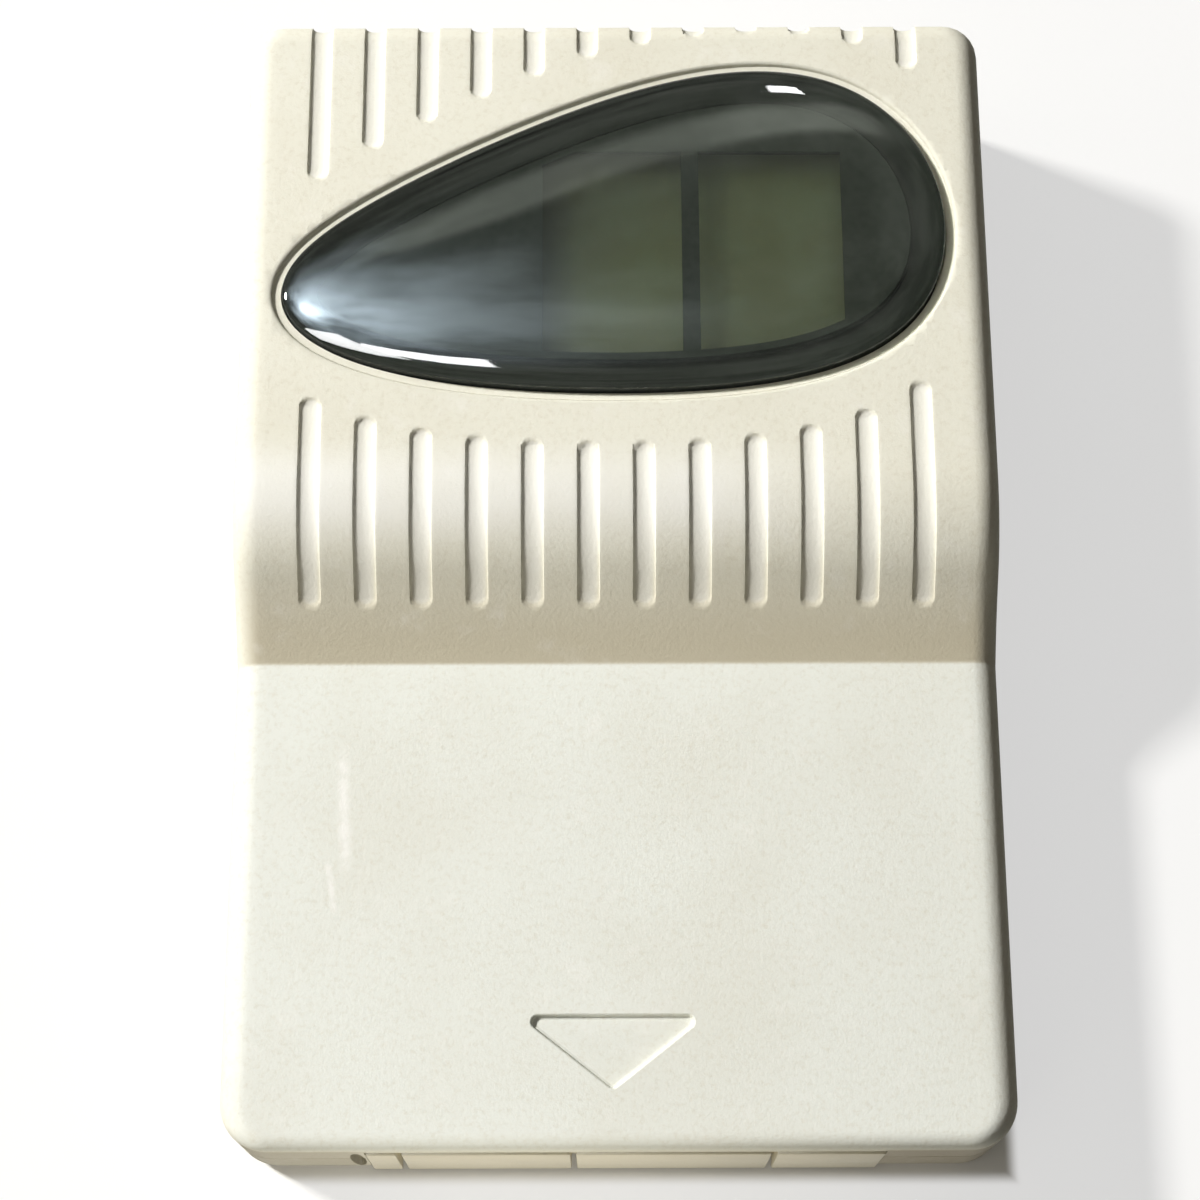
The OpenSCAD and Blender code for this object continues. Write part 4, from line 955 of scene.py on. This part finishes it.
class CARD_OT_window_lens(bpy.types.Operator):
    """Make the domed teardrop lens and the dark border that is printed under its rim"""
    bl_idname = "card.window_lens"
    bl_label = "Window lens"

    def execute(self, context):
        settings = context.scene.card
        window = sizes(settings.window)
        low, high = LENS_BOX[0].z, LENS_BOX[1].z
        rim, step, under = high - window.dome, window.step, low + window.hollow
        outline = lens_outline(window)
        middle = np.array([2.5, REAR_BOX[1].y - window.from_end])  # the dome is highest over its fuller end
        # The dome: the outline drawn to the middle by rho, at rim + dome sqrt(1 - rho^2.6)
        rho = np.cos(np.linspace(0, np.pi / 2, 33))**0.9
        rho[-1] = 0.004
        dome = [at_height(middle + (outline - middle) * r, rim + window.dome * math.sqrt(max(1 - r**2.6, 0)))
                for r in rho]
        ink = 0.05  # a printed layer is thinner than this, but it has to show as one solid
        clear = ink + 0.01
        walls = outline_rings(lens_outline, window, [(-clear, low + clear), (-clear, rim - ink), (0, rim)])
        piece = put_mesh("window_lens", *closed_stack(np.concatenate([walls, dome])))
        cut(piece, outline_solid(lens_outline, window, [(-step, low - PAST), (-step, under)]))
        shade(piece, 50)
        finish_piece(piece, smoke_acrylic(settings.finish), "lens_plastic", "display_lens")
        border = put_mesh("window_print", *outline_band(lens_outline, window, [
            (0, low), (0, rim - ink), (-ink, rim - ink), (-ink, low + ink),
            (-step, low + ink), (-step, under), (-step - ink, under), (-step - ink, low)]))
        finish_piece(border, screen_print(settings.finish), "mask_print")
        return {"FINISHED"}


class CARD_OT_display(bpy.types.Operator):
    """Finish the printed mask, the liquid crystal display and what carries it"""
    bl_idname = "card.display"
    bl_label = "Display"

    def execute(self, context):
        settings = context.scene.card
        finish = settings.finish
        window, display = sizes(settings.window), sizes(settings.display)
        low, high = (corner.z for corner in cad_box("display_mask"))
        mask = put_mesh("printed_mask", *outline_solid(lens_outline, window, [
            (-display.mask_inset, low), (-display.mask_inset, high)]))
        top = REAR_BOX[1].y - window.from_end + display.top
        for left, right in ((display.left, display.bar_left), (display.bar_right, display.right)):
            pane = put_mesh("pane", *box_solid((left, LENS_BOX[0].y, low - PAST), (right, top, high + PAST)))
            cut(pane, outline_solid(lens_outline, window, [
                (-display.inset, low - INTO), (-display.inset, high + INTO)]), operation="INTERSECT")
            cut(mask, pane)
        finish_piece(mask, bpy.data.materials["matt black screen print"], "mask_print", "display_mask")
        film = display_film(finish)
        glass, film_box, edge = cad_box("lcd_front_glass"), cad_box("lcd_front_polariser"), display.film_edge
        sheet = put_mesh("polariser_sheet", *box_solid(
            (glass[0].x + edge, glass[0].y + edge, film_box[0].z),
            (glass[1].x - edge, glass[1].y - edge, film_box[1].z)))
        ease_edges(sheet, 0.04)
        finish_piece(sheet, film, "display_film", "lcd_front_polariser")
        dress(film, "lcd_reflector")
        dress(display_glass(finish), "lcd_front_glass", "lcd_rear_glass")
        dress(moulded("white moulded holder", finish.holder, 0.5), "display_holder")
        dress(moulded("conductive silicone", finish.rubber, 0.75), "zebra_strip")
        return {"FINISHED"}


class CARD_OT_electronics(bpy.types.Operator):
    """Finish the circuit board, its chips and its small components"""
    bl_idname = "card.electronics"
    bl_label = "Electronics"

    def execute(self, context):
        finish = context.scene.card.finish
        dress(solder_resist(finish), "circuit_board")
        dress(moulded("black moulding epoxy", finish.epoxy, 0.55, 0.12), "memory_chip", "controller_chip")
        dress(moulded("glossy epoxy drop", finish.epoxy, 0.2, 3, 0.02), "display_driver")
        dress(plated("drawn steel can", finish.steel, 0.3), "crystal")
        for kind, value in (("capacitor", finish.ceramic), ("resistor", finish.epoxy)):
            for number in (1, 2, 3):
                node = f"{kind}_{number}"
                dress(end_capped(f"{kind} body {number}", value, finish.steel,
                                 *(corner.x for corner in cad_box(node))), node)
        return {"FINISHED"}


class CARD_OT_connector(bpy.types.Operator):
    """Finish the contact block, its gold strips and the screws"""
    bl_idname = "card.connector"
    bl_label = "Connector"

    def execute(self, context):
        finish = context.scene.card.finish
        parts = sizes(context.scene.card.fastening)
        self.carrier(finish, parts)
        dress(plated("gold-plated spring copper", finish.gold, 0.25),
              *(f"contact_{number}" for number in range(1, 9)))
        steel = plated("zinc-plated steel", finish.steel, 0.35, (1, 1, 1))
        for side, node in ((-1, "screw_left"), (1, "screw_right")):
            self.screw(node, side * SCREW_X, parts, steel)
        return {"FINISHED"}

    def carrier(self, finish, parts):
        """The block that holds the contact strips: a face bar with three slots, a deck and two ears."""
        left, right = BLOCK_ENDS
        face, back = BLOCK_BOX[0].y, BLOCK_BOX[1].y
        bar_back, slot_back = face + 1.65, face + 0.8
        contact_top = cad_box("contact_1")[0].z + 0.3
        low, high, deck = BLOCK_BOX[0].z, BLOCK_BOX[1].z, BOARD_BOX[0].z
        piece = put_mesh("contact_carrier", *box_solid((left, face, low), (right, bar_back, high)))
        slots = (left + 1.73, -2.4, 8.17)
        ear_low, ear_front, ear_back = 1.6, bar_back + 1.1, back - 2
        rib, slot = 0.45, 0.15  # half widths
        cut(piece, box_solid((left, bar_back - INTO, contact_top), (right, back, deck)),
            box_solid((BLOCK_BOX[0].x, ear_front, ear_low), (left + 0.3, ear_back, deck)),
            box_solid((right - 0.3, ear_front, ear_low), (BLOCK_BOX[1].x, ear_back, deck)),
            *[box_solid((x - rib, slot_back, low), (x + rib, back, deck)) for x in slots[1:]],
            operation="UNION")
        cut(piece, *[box_solid((x - slot, face - INTO, -INTO), (x + slot, slot_back, high + INTO))
                     for x in slots])
        ease_edges(piece, parts.bevel)
        finish_piece(piece, moulded("ivory contact block", finish.contact_white, 0.45), "block_plastic",
                     "contact_block")

    def screw(self, node, x, parts, steel):
        """A self-tapping screw: radius and height along its length, with a thread whose crest follows
        a helix, r + depth * max(0, 1 - 4 |u|), u the distance in turns from the helix."""
        low, high = SCREW_BOX[0].z, SCREW_BOX[1].z
        seat = low + parts.screw_head_height
        steps, rows = 48, 140
        turn = np.arange(steps) * 2 * np.pi / steps
        head_r, edge, bevel = parts.screw_head, 0.35, 0.1
        head = [(head_r * 0.35, low), *((head_r - edge + edge * math.cos(a), low + edge - edge * math.sin(a))
                                        for a in np.radians(np.linspace(90, 8, 8))),
                (head_r, seat - bevel), (head_r - bevel, seat)]
        z = np.linspace(seat, high, rows)
        taper = np.clip(high - z, 0, 1)  # over the last millimetre the screw thins and its thread runs out
        core = (parts.screw_shank - parts.thread_depth) * (taper * 0.7 + 0.3)
        phase = (z[:, None] / parts.thread_pitch - turn / (2 * np.pi) + 0.5) % 1 - 0.5
        crest = np.maximum(0, 1 - 4 * np.abs(phase)) * parts.thread_depth
        radius = np.vstack([np.repeat([[r] for r, _ in head], steps, 1),
                            core[:, None] + crest * taper[:, None]])
        height = np.concatenate([[h for _, h in head], z])
        rings = np.stack([x + radius * np.cos(turn), SCREW_Y + radius * np.sin(turn),
                          np.repeat(height[:, None], steps, 1)], -1)
        piece = put_mesh(f"{node}_threaded", *closed_stack(rings))
        reach, width, deep = head_r * 0.6, 0.225, 0.6
        cut(piece, *[box_solid((x - across, SCREW_Y - along, low - INTO),
                               (x + across, SCREW_Y + along, low + deep))
                     for across, along in ((reach, width), (width, reach))])
        finish_piece(piece, steel, "screw_steel", node)


class CARD_OT_stage(bpy.types.Operator):
    """Make the floor, the lamps, the world and the camera at the photograph's angle"""
    bl_idname = "card.stage"
    bl_label = "Stage"

    def execute(self, context):
        scene = context.scene
        scene.view_settings.view_transform = "Standard"
        self.floor(scene.card.finish)
        self.lamps()
        self.world(scene)
        self.camera(scene)
        return {"FINISHED"}

    def floor(self, finish):
        """A wide plain floor that stays pale round the card and is white far from it."""
        reach = 1500
        floor = put_mesh("floor", np.array([[-reach, -reach, 0], [reach, -reach, 0], [reach, reach, 0],
                                            [-reach, reach, 0]], float), [[0, 1, 2, 3]])
        made, add, shader, place = material("pale painted floor", finish.floor, 0.85)
        # Seen by the camera or in a reflection it is pale; the light that it throws back is low
        path = add("LightPath").outputs
        seen = add("Math", path["Is Camera Ray"], path["Is Glossy Ray"], path["Is Transmission Ray"],
                   operation="MAXIMUM")
        feed(shader, Base_Color=add("Mix", seen, (0.09, 0.08, 0.065, 1), linear(finish.floor)),
             Roughness=add("MapRange", add("TexNoise", place, 1 / 20), 0.3, 0.7, 0.8, 0.9))
        # A part of what the camera sees is plain white, so that the shadow beside the card stays light.
        # Far from the card all of it is white, so that low views have a white background too
        sides = add("SeparateXYZ", place).outputs
        apart = add("Math", *(add("MapRange", add("Math", sides[axis], operation="ABSOLUTE"),
                                  REAR_BOX[1][axis] + 0.1, REAR_BOX[1][axis] + 1) for axis in (0, 1)),
                    operation="MAXIMUM")
        far = add("MapRange", add("VectorMath", place, operation="LENGTH"), 90, 330, 0.62, 1)
        show(made, add("MixShader", add("Math", apart, far, seen), shader, add("Emission", (1, 1, 1, 1), 1)))
        floor.data.materials.append(made)

    def lamp(self, name, place, target, size, power, tint=(1, 1, 1), turn=0.0, gloss_only=False):
        """A soft rectangular lamp at a place in millimetres, facing the target and turned about its own
        axis. One for gloss only shows in reflections and lights nothing."""
        light = bpy.data.lights.new(name, "AREA")
        light.shape = "RECTANGLE"
        light.size, light.size_y = size[0] * MM, size[1] * MM
        light.energy = power
        light.color = tint
        lamp = bpy.data.objects.new(name, light)
        bpy.context.scene.collection.objects.link(lamp)
        place, target = Vector(place) * MM, Vector(target) * MM
        lamp.matrix_world = (Matrix.Translation(place)
                             @ (target - place).to_track_quat("-Z", "Y").to_matrix().to_4x4()
                             @ Matrix.Rotation(math.radians(turn), 4, "Z"))
        lamp.visible_camera = False
        if gloss_only:
            lamp.visible_diffuse = lamp.visible_transmission = False

    def lamps(self):
        """A key lamp from the upper left, as the photograph's shading shows, a small card close before the
        connector end, and three panels that give the lens its highlights."""
        self.lamp("key", (-534, 252, 458), (0, 0, 5), (80, 80), 7.7, (1, 0.99, 0.98))
        self.lamp("front card", (-7, -54, 9), (-7, -32, 5), (24, 6), 0.0036, (1, 0.96, 0.86))
        above = 500
        for name, x, y, size, power, turn in (("tip panel", -317, -109, (404, 122), 3.4, 30),
                                              ("edge panel", -100, -11, (95, 58), 0.52, 0),
                                              ("dash panel", 97, 582, (44, 88), 0.37, 0)):
            self.lamp(name, (x, y, above), (x, y, 0), size, power, turn=turn, gloss_only=True)

    def world(self, scene):
        """Warm light from all round, weaker from the right, and a white backdrop for the camera and for
        refracted rays. Mirrored rays see it with a hazy glow on the side of the key lamp: 16 times the
        42nd power of the cosine to the glow's middle and 45 times its 800th power, and a paler stripe
        over the handle end."""
        world = bpy.data.worlds.new("studio")
        world.use_nodes = True
        world.node_tree.nodes.clear()
        add = functools.partial(add_node, world.node_tree)
        path = add("LightPath").outputs
        way = add("TexCoord").outputs["Generated"]
        side = add("SeparateXYZ", way).outputs["X"]
        towards = add("VectorMath", way, (-0.362, 0.235, 0.902), operation="DOT_PRODUCT")
        nearness = add("Math", towards, 0, operation="MAXIMUM")
        glow = add("Math", *(add("Math", add("Math", nearness, power, operation="POWER"), strength)
                             for power, strength in ((42, 16), (800, 45))), operation="ADD")
        across = add("VectorMath", way, (-0.28, 1, 0), operation="DOT_PRODUCT")
        stripe = add("Math", add("MapRange", across, 0.515, 0.545), add("MapRange", across, 0.66, 0.59),
                     add("MapRange", side, 0.2, 0.42, 1, 0.2), add("MapRange", side, -0.24, -0.14, 0.15, 1))
        mottle = add("MapRange", add("TexNoise", way, 5.5, 5, 0.62), 0.3, 0.7, 0.35, 1.65)
        pale = add("Math", add("Math", mottle, stripe, operation="ADD"),
                   add("Math", 0.5, add("Math", stripe, 0.7), operation="ADD"),
                   add("MapRange", side, 0.4, 0.8, 1, 0.1))
        tinted = (add("VectorMath", tint, value, operation="MULTIPLY") for tint, value in (
            ((0.72, 0.88, 1), add("Math", glow, mottle)), ((0.93, 1, 0.87), pale)))
        mirrored = add("Background", add("VectorMath", *tinted, operation="ADD"), 1)
        ambient = add("Background", (1, 0.92, 0.8, 1), add(
            "Math", add("MapRange", side, -0.1, 0.7, 0.16, 0.02), add("MapRange", side, -0.3, -0.9, 0, 0.06),
            operation="ADD"))
        lit = add("MixShader", path["Is Glossy Ray"], ambient, mirrored)
        white = add("Math", path["Is Camera Ray"], path["Is Transmission Ray"], operation="MAXIMUM")
        add("OutputWorld", add("MixShader", white, lit, add("Background", (1, 1, 1, 1), 1)))
        scene.world = world

    def camera(self, scene):
        """Camera of the photograph: 18.3 degrees from straight down, seen from over the connector end."""
        tilt, roll = math.radians(18.3), math.radians(-0.19)
        focal_px, frame_px = 2700, 1200
        place = Vector((-0.9, -48.8, 149.9)) * MM
        data = bpy.data.cameras.new("camera")
        data.sensor_width = 36
        data.lens = data.sensor_width * focal_px / frame_px
        data.clip_start = 0.01
        camera = bpy.data.objects.new("camera", data)
        scene.collection.objects.link(camera)
        camera.matrix_world = (Matrix.Translation(place) @ Matrix.Rotation(tilt, 4, "X")
                               @ Matrix.Rotation(roll, 4, "Z"))
        scene.camera = camera


class CARD_PT_panel(bpy.types.Panel):
    """Steps that build the card"""
    bl_idname = "CARD_PT_panel"
    bl_label = "Memory card"
    bl_space_type = "VIEW_3D"
    bl_region_type = "UI"
    bl_category = "Card"

    def draw(self, context):
        for step in STEPS:
            self.layout.operator(step.bl_idname)


GROUPS = (CardCaseSizes, CardFasteningSizes, CardRampSizes, CardGrooveSizes, CardWindowSizes,
          CardDisplaySizes, CardArrowSizes, CardFinishColours, CardSettings)
STEPS = (CARD_OT_front_housing, CARD_OT_rear_housing, CARD_OT_window_lens, CARD_OT_display,
         CARD_OT_electronics, CARD_OT_connector, CARD_OT_stage)


def register():
    for item in (*GROUPS, *STEPS, CARD_PT_panel):
        bpy.utils.register_class(item)
    bpy.types.Scene.card = PointerProperty(type=CardSettings)


def unregister():
    del bpy.types.Scene.card
    for item in reversed((*GROUPS, *STEPS, CARD_PT_panel)):
        bpy.utils.unregister_class(item)


def main():
    """Builds every piece in order."""
    register()
    for step in STEPS:
        group, name = step.bl_idname.split(".")
        getattr(getattr(bpy.ops, group), name)()


if __name__ == "__main__":
    main()
